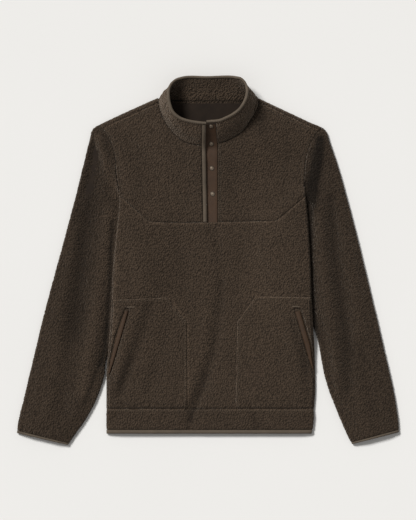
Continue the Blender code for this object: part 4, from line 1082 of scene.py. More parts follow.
def yoke_edges(sign):
    """The loop of a yoke, and its shoulder, armhole and placket edges."""
    seam = np.array(YOKE_SEAM, float)
    line = np.array(sorted(set(map(tuple, np.vstack([yoke_line(), seam[1:-1]])))))
    tops = np.array(BACK_TOP, float)
    edge = side_x(sign)
    turn = (SHOULDER_TURN_L if sign < 0 else SHOULDER_TURN_R) + GAP / 2
    down = turn / math.cos(SHOULDER_SLOPE)
    neck = np.array([row[:2] for row in COLLAR if row[2] == 1.0])
    own = neck[neck[:, 0] * sign > 0]
    own = own[np.argsort(own[:, 1])]
    foot = PLACKET_FOOT_X if sign < 0 else UNDER_EDGE_X + GAP
    corner_x = (NECK_CORNER_L - 1.5) if sign < 0 else (NECK_CORNER_R + 1.5)
    tip_y = SHOULDER_TIP_Y
    for _ in range(SETTLE):
        tip_x = edge(np.array(tip_y))
        tip_y = float(np.interp(tip_x, tops[:, 0], tops[:, 1]) - down)
    shoulder_x = np.linspace(float(edge(np.array(tip_y))), corner_x, SHOULDER_COUNT)
    shoulder_y = np.interp(shoulder_x, tops[:, 0], tops[:, 1]) - down
    shoulder = np.column_stack([shoulder_x, shoulder_y])
    seam_y = float(seam[0][1] if sign < 0 else seam[-1][1]) + GAP / 2
    below = line[(line[:, 0] < foot - 3) if sign < 0 else (line[:, 0] > foot + 3)]
    below = below + (0.0, GAP / 2)
    foot_y = np.interp(foot, seam[:, 0], seam[:, 1]) + GAP / 2
    sides = side_points(edge, seam_y, tip_y)
    gate = even([(foot, foot_y), tuple(own[0])], PANEL_STEP)
    throat = even(own, 4.0, False)
    loop = np.vstack([gate, throat[1:], shoulder[::-1], sides[::-1][1:], below[::-sign][1:]])
    return loop, shoulder, sides, gate


def pocket_loop(side, edge, slit):
    """A pocket's outline. Its slanted opening is cut in from the side fold."""
    body_side = side_x(side)
    rows = np.array(slit, float)[::-1]
    foot = edge[-1]

    def beside_fold(low_y, high_y):
        return side_points(body_side, low_y, high_y) - (side * POCKET_INSET, 0.0)

    leave_y, last_y, top_y = slit[-1][0], slit[-2][0], slit[0][0]
    lip_in = np.linspace(leave_y, top_y, 25)
    lip_out = np.linspace(top_y, last_y, 20)
    hem_side = body_side(np.array(foot[1])) - side * POCKET_INSET
    return np.vstack(
        [
            even(edge, PANEL_STEP)[:-1],
            even([foot, (float(hem_side), foot[1])], PANEL_STEP)[:-1],
            beside_fold(foot[1], leave_y - 14.0),
            np.column_stack([read(rows, 2, lip_in), lip_in]),
            np.column_stack([read(rows, 1, lip_out), lip_out]),
            beside_fold(last_y - 8.0, top_y + 1.0),
        ]
    )


def pocket_lines(side, edge, slit):
    """The lines stitched inside a pocket's edges and beside its opening, and the line of its
    painted highlight.
    """
    sewn = even(edge, 3.0)
    lip = even(np.array(slit, float)[:, [2, 0]], 3.0, False)
    lip = beside(lip, -side * LIP_STITCH)[3:-6]
    return beside(sewn, side * POCKET_STITCH), lip, beside(sewn, side * RIM_IN)


def pocket_under(x, y):
    """Height of a pocket's lower face."""
    return front_top(x, y) + GAP


def fronts(cloth):
    """The lower front, the pockets on it and the two yokes. Returns the stitched lines."""
    seam = np.array(YOKE_SEAM, float)
    bottom = BAND_TOP_Y + GAP / 2
    across = np.arange(left_x(bottom), right_x(bottom), PANEL_STEP)
    lower = np.vstack(
        [
            np.column_stack([across, np.full(len(across), bottom)]),
            side_points(right_x, bottom, seam[-1][1] - GAP / 2)[:-1],
            (yoke_line() - (0.0, GAP / 2))[::-1][:-1],
            side_points(left_x, seam[0][1] - GAP / 2, bottom)[:-1],
        ]
    )
    loops = [pocket_loop(side, edge, slit) for _, side, edge, slit in POCKETS]
    layout = lay_out(lower, side_rows(bottom, ROWS_Y), FRONT_CLEAR, loops)
    rims = [yoke_line() - (0.0, RIM_IN), beside(even(POCKET_L_EDGE[1:], 3.0), RIM_IN)]
    panel("front_panel", layout, front_under, front_top, lower, [], rims, cloth, 1.0, loops)
    places, faces = layout
    centres = places[np.array(faces)].mean(axis=1)
    lines = []
    for (letter, side, edge, slit), loop in zip(POCKETS, loops):
        own = [face for face, inside in zip(faces, inside_loop(centres, loop)) if inside]
        sewn, lip, rim = pocket_lines(side, edge, slit)

        def over(x, y, loop=loop):
            """The pocket's face, rounded at its edges and thinner towards the hem band."""
            full = 0.1 + 0.7 * smoothstep((y - BAND_TOP_Y) / POCKET_FOOT)
            rise = (POCKET_WALL - POCKET_RIM) * full * rounded(to_loop(x, y, loop), POCKET_ROUND)
            return front_top(x, y) + GAP + POCKET_RIM + rise

        name, sewn_on = f"pocket_{letter}", (places, own)
        panel(name, sewn_on, pocket_under, over, loop, [sewn, lip], [rim], cloth, 2.0 + side)
        lines += [(sewn, over), (lip, over)]
    for letter, sign in (("l", -1), ("r", 1)):
        loop, shoulder, sides, gate = yoke_edges(sign)
        inside = [shoulder + (0.0, -SHOULDER_STITCH), sides[2:-1] - (sign * ARM_STITCH, 0.0)]
        if sign > 0:
            inside += [gate + (way, 0.0) for way in GATE_STITCHES]
        layout = lay_out(loop, side_rows(ROWS_Y, YOKE_ROWS_Y), YOKE_CLEAR)
        rims = [shoulder + (0.0, -RIM_IN)]
        name = f"front_yoke_{letter}"
        panel(name, layout, front_under, front_top, loop, inside, rims, cloth, 6.0 + sign)
        lines += [(each, front_top) for each in inside]
    return lines


def back(cloth):
    """The back, with its upper edge turned over the shoulders."""
    edge_y = np.array([SHOULDER_TIP_Y])
    start = left_x(edge_y)[0]
    wide = right_x(edge_y)[0] - start
    corner_l = (NECK_CORNER_L - start) / wide
    corner_r = (NECK_CORNER_R - start) / wide
    near = np.array(SIDE_WAYS) / wide
    fine = RING_STEP / wide
    share = np.concatenate(
        [
            near[:-1],
            np.arange(near[-1], corner_l - fine / 2, fine),
            np.linspace(corner_l, corner_r, NECK_COLUMNS),
            np.arange(corner_r + fine, 1 - near[-1], fine),
            1 - near[::-1],
        ]
    )
    tops = np.array(BACK_TOP, float)

    def across(y):
        return left_x(y) + share * (right_x(y) - left_x(y))

    def down_from_top(way):
        """Where each column is the given way in from the upper edge."""
        down = way / math.cos(SHOULDER_SLOPE)
        y = np.full(len(share), SHOULDER_MIDDLE_Y)
        for _ in range(SETTLE):
            y = 0.5 * y + 0.5 * (np.interp(across(y), tops[:, 0], tops[:, 1]) - down)
        return across(y), y

    shoulder = (share <= corner_l + 1e-6) | (share >= corner_r - 1e-6)
    turned = np.where(share < 0.5, SHOULDER_TURN_L, SHOULDER_TURN_R)
    bend = turned - SHOULDER_FLAT
    outer, inner, piled = [], [], []
    start_y = BAND_TOP_Y + GAP / 2
    last_y = down_from_top(bend)[1]
    for v in np.linspace(0.0, 1.0, BACK_ROWS):
        y = start_y + v * (last_y - start_y)
        x = across(y)
        low, high, _, _ = body(x, y)
        inset = clamp(side_distance(x, y) / BACK_FADE) * (v < 0.97)
        outer.append(np.column_stack([x, y, low + folds(BACK_FOLDS, x, y) * inset]))
        inner.append(np.column_stack([x, y, high]))
        piled.append(np.zeros(len(share)))
    inside_bend = np.maximum(bend - WALL, 1.0)
    turns = [(each, 0.0) for each in np.linspace(-70.0, 90.0, 12)]
    turns += [(90.0, each) for each in (0.35, 0.7, 1.0)]
    for turn, after in turns:
        angle = math.radians(turn)
        way = bend * (1 - math.cos(angle)) + after * (turned - GAP / 2 - bend)
        x, y = down_from_top(way)
        low, high, front_low, front_high = body(x, y)
        middle, half, room = (low + front_high) / 2, (front_high - low) / 2, (front_low - high) / 2
        outer_z = np.where(shoulder, middle + half * math.sin(angle), low)
        outer.append(np.column_stack([x, y, outer_z]))
        inside_way = WALL + inside_bend * (1 - math.cos(angle)) + after * (turned - bend)
        inside_x, inside_y = down_from_top(np.minimum(inside_way, turned - GAP / 2))
        inside_x = np.where(shoulder, inside_x, x)
        inside_y = np.where(shoulder, inside_y, y)
        inside_z = np.where(shoulder, middle + room * math.sin(angle), high)
        inner.append(np.column_stack([inside_x, inside_y, inside_z]))
        piled.append(shoulder * smoothstep((turn + 40.0) / 60.0) * np.ones(len(share)))
    cells = np.ones((len(outer) - 1, len(share) - 1), bool)
    cells[BACK_ROWS + 3 :, ~(shoulder[:-1] & shoulder[1:])] = False
    outer, inner, piled = np.array(outer), np.array(inner), np.array(piled)
    steps = np.linalg.norm(np.diff(outer, axis=0), axis=2)
    along = np.vstack([np.zeros(len(share)), np.cumsum(steps, axis=0)])
    from_end = (along[-1] - along).ravel()
    height, depth = pile(outer[..., 0].ravel(), from_end, from_end, FAR, 9.0)
    shade = np.column_stack([depth, np.ones(len(depth))])
    shade = np.vstack([shade, plain(len(depth))])
    outer = swelled(outer, height * piled.ravel(), -1, False)
    slab("back_panel", outer, inner, cloth, shade, cells)


def ring_ways(wide, first, step):
    """Places across a flattened tube: close together where its sides round over, for each width."""
    near = np.array([*RING_NEAR, first])
    count = int(round((wide.max() - 2 * first) / step))
    middle = np.linspace(0.0, 1.0, count)[1:-1]
    left = np.tile(near, (len(wide), 1))
    inside = first + middle[None] * (wide[:, None] - 2 * first)
    return np.hstack([left, inside, wide[:, None] - left[:, ::-1]])


def tube_ways(wide, first):
    """Places across the top of a flattened tube and back below, and which of them are on top."""
    top = ring_ways(wide, first, RING_STEP)
    low = ring_ways(wide, first, 4 * RING_STEP)[:, -2:0:-1]
    way = np.hstack([top, low])
    return way, np.arange(way.shape[1]) < top.shape[1]


def body_band(name, y, cloth, profile, stitched_y=None, seed=None):
    """A band of the hem, round both side folds. profile raises its outer face, row by row."""
    left, right = left_x(y), right_x(y)
    wide = right - left
    way, tops = tube_ways(wide, SIDE_ROUND)
    x = left[:, None] + way
    ys = np.repeat(y[:, None], way.shape[1], axis=1)
    under, _, _, over = body(x, ys)
    at_edge = np.isin(np.arange(way.shape[1]), (0, tops.sum() - 1))
    rise = profile[:, None]
    z = np.where(tops, over + rise, np.maximum(under - np.minimum(rise, 0.0), 0.0))
    z = np.where(at_edge, (under + over) / 2, z)
    outer = np.stack([x, ys, z], axis=-1)
    shade = plain(x.size)
    if seed:
        flat_x, flat_y = x.ravel(), ys.ravel()
        edge = np.minimum(flat_y - y[0], y[-1] - flat_y)
        height, depth = pile(flat_x, flat_y, edge, np.abs(flat_y - stitched_y), seed)
        keep = np.tile(tops, len(y))
        # The band is painted a little darker, with the painted light and shade of its creases and a
        # painted highlight along its upper seam.
        painted_light = BAND_PAINTED_SHADE + folds(FRONT_DRAPE, flat_x, flat_y, 2)
        highlight_or_pressed_fold = BAND_HIGHLIGHT * (1.0 - bell(flat_x - BAND_CALM_X, BAND_CALM))
        painted_light = painted_light + highlight_or_pressed_fold * bell(y[-1] - flat_y - RIM_IN, RIM_WIDTH)
        shade = np.column_stack([depth, np.where(keep, painted_light, 1.0)])
        outer = swelled(outer, height * keep)
    inside = np.clip(x[[0, -1]], left[[0, -1], None] + WALL, right[[0, -1], None] - WALL)
    ends = ys[[0, -1]]
    _, back_up, front_low, _ = body(inside, ends)
    room = (front_low - back_up) / 2
    centre = (front_low + back_up) / 2
    slack = clamp(np.minimum(way, wide[:, None] - way)[[0, -1]] / 3.0)
    inner_z = centre + np.where(tops, room, -room) * slack
    tube(name, outer, np.stack([inside, ends, inner_z], axis=-1), cloth, shade)


def sleeve_place(outer_edge, inner_edge, armhole, u, v):
    """Points across (u, from the outer edge, a row for each v) and along (v, from the cuff)."""
    outer, inner = curve(outer_edge, v)[:, None], curve(inner_edge, v)[:, None]
    seam = curve(armhole, u.ravel()).reshape(*u.shape, 2)
    ends = curve(armhole, np.array([0.0, 1.0]))
    chord = ends[0] + u[..., None] * (ends[1] - ends[0])
    ruled = outer * (1 - u[..., None]) + inner * u[..., None]
    return ruled + (v**4)[:, None, None] * (seam - chord)


def sleeve_part(name, side, edges, v, cloth, profile, seed=None):
    """A stretch of a sleeve between two shares of its length, as a flattened tube."""

    def width(v):
        return np.linalg.norm(curve(edges[0], v) - curve(edges[1], v), axis=1)

    def surface_at(way, v, wide):
        x, y = np.moveaxis(sleeve_place(*edges, way / wide[:, None], v), -1, 0)
        edge = np.minimum(way, wide[:, None] - way)
        from_seam = np.repeat(((1.0 - v) * SLEEVE_LENGTH)[:, None], way.shape[1], axis=1)
        return x, y, edge, from_seam, *sleeve_heights(x, y, side, edge, from_seam)

    wide = width(v)
    way, tops = tube_ways(wide, SLEEVE_ROUND)
    x, y, edge, from_seam, low, high = surface_at(way, v, wide)
    high = high + profile[:, None] * clamp(edge / 3.0)
    if seed:
        high = high + folds(SLEEVE_DRAPE, x, y) * clamp(edge / SLEEVE_FADE)
    highlight_or_pressed_fold = folds(SLEEVE_UNDER_FOLDS, x, y) * clamp(edge / BACK_FADE)
    highlight_or_pressed_fold = highlight_or_pressed_fold * clamp((from_seam - SEAM_RAMP) / SEAM_RAMP)
    outer = np.stack([x, y, np.where(tops, high, low + highlight_or_pressed_fold)], axis=-1)
    shade = plain(x.size)
    if seed:
        along = (v * SLEEVE_LENGTH)[:, None] + 0 * way
        across = way - wide[:, None] / 2
        ends = np.minimum(along - along[0], along[-1] - along)
        height, depth = pile(across.ravel(), along.ravel(), ends.ravel(), FAR, seed)
        # The sleeve is painted darker, less so towards the cuff, and takes the painted light and
        # shade of its creases.
        painted_light = SLEEVE_PAINTED_SHADE + SLEEVE_RISE * smoothstep((from_seam - 330.0) / 260.0)
        painted_light = np.clip(painted_light + folds(SLEEVE_DRAPE, x, y, 2), 0.2, 1.3)
        shade = np.column_stack([depth, np.where(tops, painted_light, 1.0).ravel()])
        bare = smoothstep(((x - side_x(side)(y)) * side + 1.0) / BARE_RAMP)
        outer = swelled(outer, height * (tops * bare).ravel(), -side)
    rows = np.linspace(v[0], v[-1], 30 if seed else 4)
    wide = width(rows)
    share = way[:1] / way[:1].max()
    inside = WALL + share * (wide[:, None] - 2 * WALL)
    x, y, edge, _, _, _ = surface_at(inside, rows, wide)
    further = np.where(inside < wide[:, None] / 2, inside + WALL, inside - WALL)
    *_, full_low, full_high = surface_at(further, rows, wide)
    room = clamp((edge - WALL) / 4.6)
    centre = (full_low + full_high) / 2
    half = np.maximum((full_high - full_low) / 2 - WALL, 0.35) * room
    inner = np.stack([x, y, np.where(tops, centre + half, centre - half)], axis=-1)
    tube(name, outer, inner, cloth, shade)


def sleeves(cloth, bound):
    """Both sleeves, each with its bound end."""
    parts = (
        ("l", -1, SLEEVE_OUTER_L, SLEEVE_INNER_L, ARMHOLE_END_L),
        ("r", 1, SLEEVE_OUTER_R, SLEEVE_INNER_R, ARMHOLE_END_R),
    )
    start = CUFF_BINDING / SLEEVE_LENGTH
    rows = np.linspace(start + GAP / SLEEVE_LENGTH, 1.0, int(SLEEVE_LENGTH / RING_STEP))
    cuff_rows = np.linspace(0.0, start, CUFF_ROWS)
    rolled = bound_profile(np.linspace(0.0, 1.0, CUFF_ROWS))
    for letter, side, outer_edge, inner_edge, end in parts:
        seam = armhole(outer_edge[-1], side, end)
        tuck = np.full(len(seam), ARMHOLE_TUCK)
        tuck[0] = TIP_TUCK
        seam = seam - np.column_stack([side * tuck, 0 * tuck])
        edges = (outer_edge, inner_edge, seam)
        flat = np.zeros(len(rows))
        sleeve_part(f"sleeve_{letter}", side, edges, rows, cloth, flat, 14.0 + side)
        sleeve_part(f"cuff_binding_{letter}", side, edges, cuff_rows, bound, rolled)


def bound_profile(t):
    """How a binding's face rises from its rolled edge (0) to its sewn edge (1)."""
    rolled = -1.6 * (1.0 - rounded(t, 0.35))
    return rolled + 0.9 * np.sin(math.pi * t) ** 0.7 - 0.5 * smoothstep((t - 0.8) / 0.2)


def collar_frame(stations):
    """Neck seam, collar edge, the way up between them and the way out, at shares along it."""
    seam, top = collar_rows()
    rows = np.column_stack([shares(seam + top), seam, top])
    at = np.column_stack([read(rows, c, stations) for c in range(1, 7)])
    seam, top = at[:, :3], at[:, 3:]
    up = unit(top - seam)
    along = unit(np.gradient(top + seam, axis=0))
    return seam, top, up, unit(np.cross(up, along))


def collar(cloth, bound):
    """The stand collar and its bound edge. Returns the line stitched below that edge."""
    stations = np.linspace(0.0, 1.0, COLLAR_COUNT)
    seam, top, up, out = collar_frame(stations)
    behind = smoothstep((BEHIND_SHARE - np.abs(stations - 0.5)) / 0.04)
    base = seam + up * (WALL / 2 * np.abs(up[:, 2]) + 0.8 - NECK_TUCK * behind)[:, None]
    crest = top - up * (BINDING_HEIGHT / 2 - 1.4)
    v = np.linspace(0.0, 1.0, COLLAR_ROWS)[:, None]
    tall = np.linalg.norm(crest - base, axis=1)[None]
    length = COLLAR_LENGTH
    along, high = stations[None] * length + 0 * v, v * tall
    both, outside = (
        [(*row, [(s * length, t) for s, t in points]) for *row, points in rows]
        for rows in (COLLAR_FOLDS, COLLAR_CREASES)
    )
    bulge = COLLAR_BULGE * np.sin(math.pi * v) + folds(both, along, high)
    middle = base + (crest - base) * v[..., None] + out * bulge[..., None]
    edge = np.minimum(np.minimum(high, tall - high), np.minimum(along, length - along))
    stitched = np.abs(tall - high - COLLAR_STITCH) + 1.0 + 0 * high
    front_end = np.minimum(*(np.abs(length - along - way) for way in END_STITCHES))
    height, depth = pile(along, high, edge, np.minimum(stitched, front_end), 21.0)
    height = COLLAR_PILE * height + folds(outside, along, high)
    # The collar's outer face is painted lighter, with the painted light and shade of its creases.
    painted_light = np.clip(COLLAR_PAINTED_LIGHT + folds(outside, along, high, 2), 0.2, 1.5)
    inside_height, inside_depth = pile(along, high, edge, FAR, 22.0)
    inside_depth = PILE_MIDDLE + COLLAR_INSIDE_PILE * (inside_depth - PILE_MIDDLE)
    # Painted light on the inner face behind the neck, and a painted shadow along the neck seam
    # inside.
    lit = smoothstep((LIT_SHARE - np.abs(along / length - LIT_MIDDLE)) / 0.1)
    dark = NECK_SEAM_PAINTED_SHADE * bell(high - NECK_TUCK - NECK_SEAM, NECK_SEAM_WIDTH)
    inside_painted_light = 1.0 + INSIDE_PAINTED_LIGHT * lit - dark
    outer = middle + out * (WALL / 2 + height)[..., None]
    inner = middle - out * (WALL / 2 + COLLAR_INSIDE_PILE * inside_height)[..., None]
    shades = (np.stack(each, axis=-1) for each in ((depth, painted_light), (inside_depth, inside_painted_light)))
    shade = np.vstack([each.reshape(-1, 2) for each in shades])
    slab("collar", outer, inner, (cloth[0], cloth[0], cloth[2]), shade)

    tape_z, tape_y = TAPE_TOP
    start = top[:1] + (8.6, -0.6, 0.6)
    end = np.array([[6.0, tape_y + 1.6, tape_z + 0.6], [-3.2, tape_y + 0.6, tape_z]])
    centres = np.vstack([start, top, end])
    across, ups = (np.vstack([each[:1], each, each[-1:], each[-1:]]) for each in (out, up))
    sweep("collar_binding", centres, across, ups, BINDING_WIDTH, BINDING_HEIGHT, bound)
    sewn = top - up * BINDING_HEIGHT * 0.34 + out * BINDING_WIDTH * 0.47
    return sewn[4:-4], out[4:-4]


def placket(bound, woven, metal, dark):
    """The bound edge, the tape and the snaps on it. Returns the line stitched along the edge."""
    y, z, left, right = tape_line()
    rows = np.column_stack([y, z, left, right])
    y = np.concatenate([[y[0] - 4.0], np.arange(y[0], y[-1], 2.5)])
    z, left, right = (read(rows, c, y) for c in (1, 2, 3))
    z = z + TAPE_RIPPLE * drift(0.6 * y, 0.2 * y, 13.0, 31.0) * smoothstep((y - 90.0) / 20.0)
    rise = unit(np.column_stack([np.gradient(y), np.gradient(z)]))
    normal = np.column_stack([np.zeros(len(y)), -rise[:, 1], rise[:, 0]])
    across = np.linspace(0.0, 1.0, 17)
    middle = [np.column_stack([left + (right - left) * t, y, z]) for t in across]
    middle = np.stack(middle, axis=1)
    rolled = 1.0 - 0.55 * np.clip(np.abs(across - 0.5) * 2 - 0.8, 0.0, 0.2) / 0.2
    half = normal[:, None] * TAPE_WALL / 2 * rolled[None, :, None]
    slab("placket_tape", middle + half, middle - half, woven)

    seam, top = collar_rows()
    foot_y = np.linspace(YOKE_Y + 0.6, PLACKET_FLAT_Y, 9)
    foot_x = np.interp(foot_y, [YOKE_Y, PLACKET_NECK_Y], PLACKET_EDGE_X)
    foot_z = front_middle(np.full(len(foot_y), PLACKET_HEIGHT_X), foot_y)
    start, end = seam[0] + (4.9, 0.0, 0.0), top[0] + (4.4, 0.0, 0.0)
    share = np.array([*STAND_RISE, 0.93])
    stand = start + (end - start) * share[:, None]
    up = unit(end - start)
    out = unit(np.cross(up, (1.0, 0.0, 0.0)))
    out = out if out[2] > 0 else -out
    stand = stand + out * COLLAR_BULGE * np.sin(math.pi * share)[:, None]
    line = np.vstack([np.column_stack([foot_x, foot_y, foot_z]), stand])
    centres = curve(line, np.linspace(0.0, 1.0, PLACKET_COUNT))
    along = unit(np.gradient(centres, axis=0))
    side = np.tile((1.0, 0.0, 0.0), (len(centres), 1))
    over = unit(np.cross(side, along))
    size = (PLACKET_BINDING_WIDTH - 0.6, PLACKET_BINDING_HEIGHT + 1.2)
    sweep("placket_binding", centres, side, over, *size, bound)

    for number, (snap_x, snap_y) in enumerate(SNAPS, 1):
        tilt = np.array([np.interp(snap_y, y, normal[:, c]) for c in range(3)])
        place = np.array([snap_x, snap_y, np.interp(snap_y, y, z)])
        snap(f"snap_{number}", place + tilt * (TAPE_WALL / 2 + 0.05), tilt, metal, dark)
    return centres + over * (PLACKET_BINDING_HEIGHT / 2 - 0.55) - side * 3.1, over


def snap(name, place, normal, metal, dark):
    """A turned stud: a flange, a raised rim, a dished ring and a small domed middle."""
    turns = np.arange(SNAP_SIDES) / SNAP_SIDES * math.tau
    normal = normal / np.linalg.norm(normal)
    side = np.array([1.0, 0.0, 0.0])
    circle = np.outer(np.cos(turns), side) + np.outer(np.sin(turns), np.cross(normal, side))
    rings = [place + normal * height + radius * circle for radius, height in SNAP_PROFILE]
    count = len(SNAP_PROFILE)
    points = np.vstack([*rings, [place + normal * (SNAP_PROFILE[-1][1] + 0.04)], [place]])
    around = np.arange(SNAP_SIDES)
    after = np.roll(around, -1)
    last = (count - 1) * SNAP_SIDES
    cap = np.column_stack([last + around, last + after, np.full(SNAP_SIDES, len(points) - 2)])
    foot = np.column_stack([after, around, np.full(SNAP_SIDES, len(points) - 1)])
    rings = grid(count, SNAP_SIDES, closed=True).reshape(2, count - 1, SNAP_SIDES, 3)
    outer, inner = rings[:, :SNAP_RIM].reshape(-1, 3), rings[:, SNAP_RIM:].reshape(-1, 3)
    put(name, points, [(np.vstack([outer, foot]), dark), (np.vstack([inner, cap]), metal)], "snap")


def welt(name, side, slit, cloth):
    """A ribbed woven strip that fills the inner part of the opening."""
    rows = np.array(slit, float)[::-1]
    y = np.arange(slit[-1][0] + 2.0, slit[0][0] - 4.0, 1.5)
    lip_out, lip_in = read(rows, 1, y), read(rows, 2, y)
    inner_x = lip_in + side * 0.4
    outer_x = lip_in + (lip_out - lip_in) * WELT_SHARE
    t = np.linspace(0.0, 1.0, WELT_COLUMNS)
    grid_x = inner_x[:, None] + (outer_x - inner_x)[:, None] * t
    grid_y = np.repeat(y[:, None], len(t), axis=1)
    low = front_top(grid_x, grid_y) + WELT_GAP
    crown = WELT_CROWN * np.sin(math.pi * t) - WELT_CROWN * (np.abs(t - 0.5) > 0.46)
    heights = (low + WELT_WALL + crown, low)
    outer, inner = (np.stack([grid_x, grid_y, z], axis=-1) for z in heights)
    slab(name, outer, inner, cloth)


def stitches(name, places, along, out, surface, length=STITCH_LENGTH, thick=STITCH_THICK):
    """One joined mesh of small raised threads, six-sided and pointed at both ends."""
    side = unit(np.cross(out, along))
    corners = [(math.cos(a), math.sin(a)) for a in np.arange(6) * math.tau / 6]
    points = [places - along * length * 0.5]
    for share in (-0.34, 0.34):
        middle = places + along * length * share
        points += [middle + side * c * thick / 2 + out * s * thick / 2 for c, s in corners]
    points = np.stack([*points, places + along * length * 0.5], axis=1)
    after = [(i, (i + 1) % 6) for i in range(6)]
    one = [(0, 1 + j, 1 + i) for i, j in after] + [(1 + i, 1 + j, 7 + j) for i, j in after]
    one += [(1 + i, 7 + j, 7 + i) for i, j in after] + [(13, 7 + i, 7 + j) for i, j in after]
    first = np.arange(len(places)) * points.shape[1]
    faces = (np.array(one)[None] + first[:, None, None]).reshape(-1, 3)
    put(name, points.reshape(-1, 3), [(faces, surface)], "fleece", None, False)


def sewing(lines, bound_lines, thread):
    """The topstitching, each line at its own height on the cloth."""
    places, alongs, outs = [], [], []
    for line, over in lines:
        points = even(line)
        x, y = points.T
        along = unit(np.gradient(points, axis=0))
        slope_x = (over(x + SLOPE_STEP, y) - over(x - SLOPE_STEP, y)) / (2 * SLOPE_STEP)
        slope_y = (over(x, y + SLOPE_STEP) - over(x, y - SLOPE_STEP)) / (2 * SLOPE_STEP)
        out = unit(np.column_stack([-slope_x, -slope_y, np.ones(len(x))]))
        run = np.column_stack([along, along[:, 0] * slope_x + along[:, 1] * slope_y])
        places.append(np.column_stack([x, y, over(x, y)]) - out * STITCH_SINK)
        alongs.append(unit(run))
        outs.append(out)
    for line, out in bound_lines:
        at = shares(line)
        count = int(np.linalg.norm(np.diff(line, axis=0), axis=1).sum() / STITCH_PITCH)
        where = np.linspace(0.0, 1.0, count)
        line, out = (
            np.column_stack([np.interp(where, at, column) for column in each.T])
            for each in (line, out)
        )
        places.append(line)
        alongs.append(unit(np.gradient(line, axis=0)))
        outs.append(unit(out))
    stitches("topstitching", *map(np.vstack, (places, alongs, outs)), thread)

    x = [np.arange(x0, x1, BAR_PITCH) for x0, x1, _ in STITCH_BARS]
    y = np.concatenate([np.full(len(at), bar[2]) for at, bar in zip(x, STITCH_BARS)])
    x = np.concatenate(x)
    places = np.column_stack([x, y, front_top(x, y) + GAP + POCKET_WALL + 0.1])
    along, out = (np.tile(way, (len(x), 1)) for way in ((0.0, 1.0, 0.0), (0.0, 0.0, 1.0)))
    stitches("stitch_bars", places, along, out, thread, BAR_LENGTH, BAR_THICK)


def node(tree, kind, inputs=(), **settings):
    """A new shader node. An input is a value, or a socket to join to it."""
    made = tree.nodes.new(kind)
    for key, value in settings.items():
        setattr(made, key, value)
    for key, value in dict(inputs).items():
        if isinstance(value, bpy.types.NodeSocket):
            tree.links.new(value, made.inputs[key])
        else:
            made.inputs[key].default_value = value
    return made


def looks(name, roughness, metallic=0.0, sheen=0.0, tint=(1.0, 1.0, 1.0), specular=0.3):
    """A new material, its tree and the place in the object."""
    made = bpy.data.materials.new(name)
    made.use_nodes = True
    tree = made.node_tree
    inputs = tree.nodes["Principled BSDF"].inputs
    inputs["Roughness"].default_value = roughness
    inputs["Metallic"].default_value = metallic
    inputs["Sheen Weight"].default_value = sheen
    inputs["Sheen Roughness"].default_value = SHEEN_ROUGH
    inputs["Sheen Tint"].default_value = (*tint, 1.0)
    inputs["Specular IOR Level"].default_value = specular
    return made, tree, node(tree, "ShaderNodeTexCoord").outputs["Object"]


def finished(made, colour, bumps=()):
    """The material with its colour, and bumps in turn: height, strength and distance in metres."""
    tree = made.node_tree
    shader = tree.nodes["Principled BSDF"]
    tree.links.new(colour, shader.inputs["Base Color"])
    before = None
    for height, strength, depth in bumps:
        inputs = {"Height": height, "Strength": strength, "Distance": depth}
        if before:
            inputs["Normal"] = before
        before = node(tree, "ShaderNodeBump", inputs).outputs["Normal"]
    if before:
        tree.links.new(before, shader.inputs["Normal"])
    return made


def ramp(tree, value, stops):
    """Colours by the value: each stop is a value and its colour."""
    made = node(tree, "ShaderNodeValToRGB", {"Fac": value})
    points = made.color_ramp.elements
    while len(points) < len(stops):
        points.new(0.5)
    for point, (at, colour) in zip(points, stops):
        point.position = at
        point.color = (*colour, 1.0)
    return made.outputs["Color"]


def times(colour, share):
    """A darker or lighter colour."""
    return tuple(c * share for c in colour)


def multiplied(tree, colour, share):
    """Two colour sockets multiplied."""
    mix = node(tree, "ShaderNodeMix", data_type="RGBA", blend_type="MULTIPLY")
    mix.inputs[0].default_value = 1.0
    tree.links.new(colour, mix.inputs[6])
    tree.links.new(share, mix.inputs[7])
    return mix.outputs[2]


def noise(tree, place, scale, detail=2.0):
    """A socket of soft noise."""
    inputs = {"Vector": place, "Scale": scale, "Detail": detail}
    return node(tree, "ShaderNodeTexNoise", inputs).outputs["Fac"]


def wave(tree, place, scale, distortion, direction="X", detail=2.0):
    """A socket of even ribs."""
    inputs = {"Vector": place, "Scale": scale, "Distortion": distortion, "Detail": detail}
    return node(tree, "ShaderNodeTexWave", inputs, bands_direction=direction).outputs["Fac"]


def mottled(tree, place, colour, scale, low, high):
    """A colour, or a socket that gives one, made a little darker and lighter by soft noise."""
    base = colour if isinstance(colour, tuple) else (1.0, 1.0, 1.0)
    stops = ((0.3, times(base, low)), (0.7, times(base, high)))
    tone = ramp(tree, noise(tree, place, scale, MOTTLE_DETAIL), stops)
    return tone if base is colour else multiplied(tree, colour, tone)


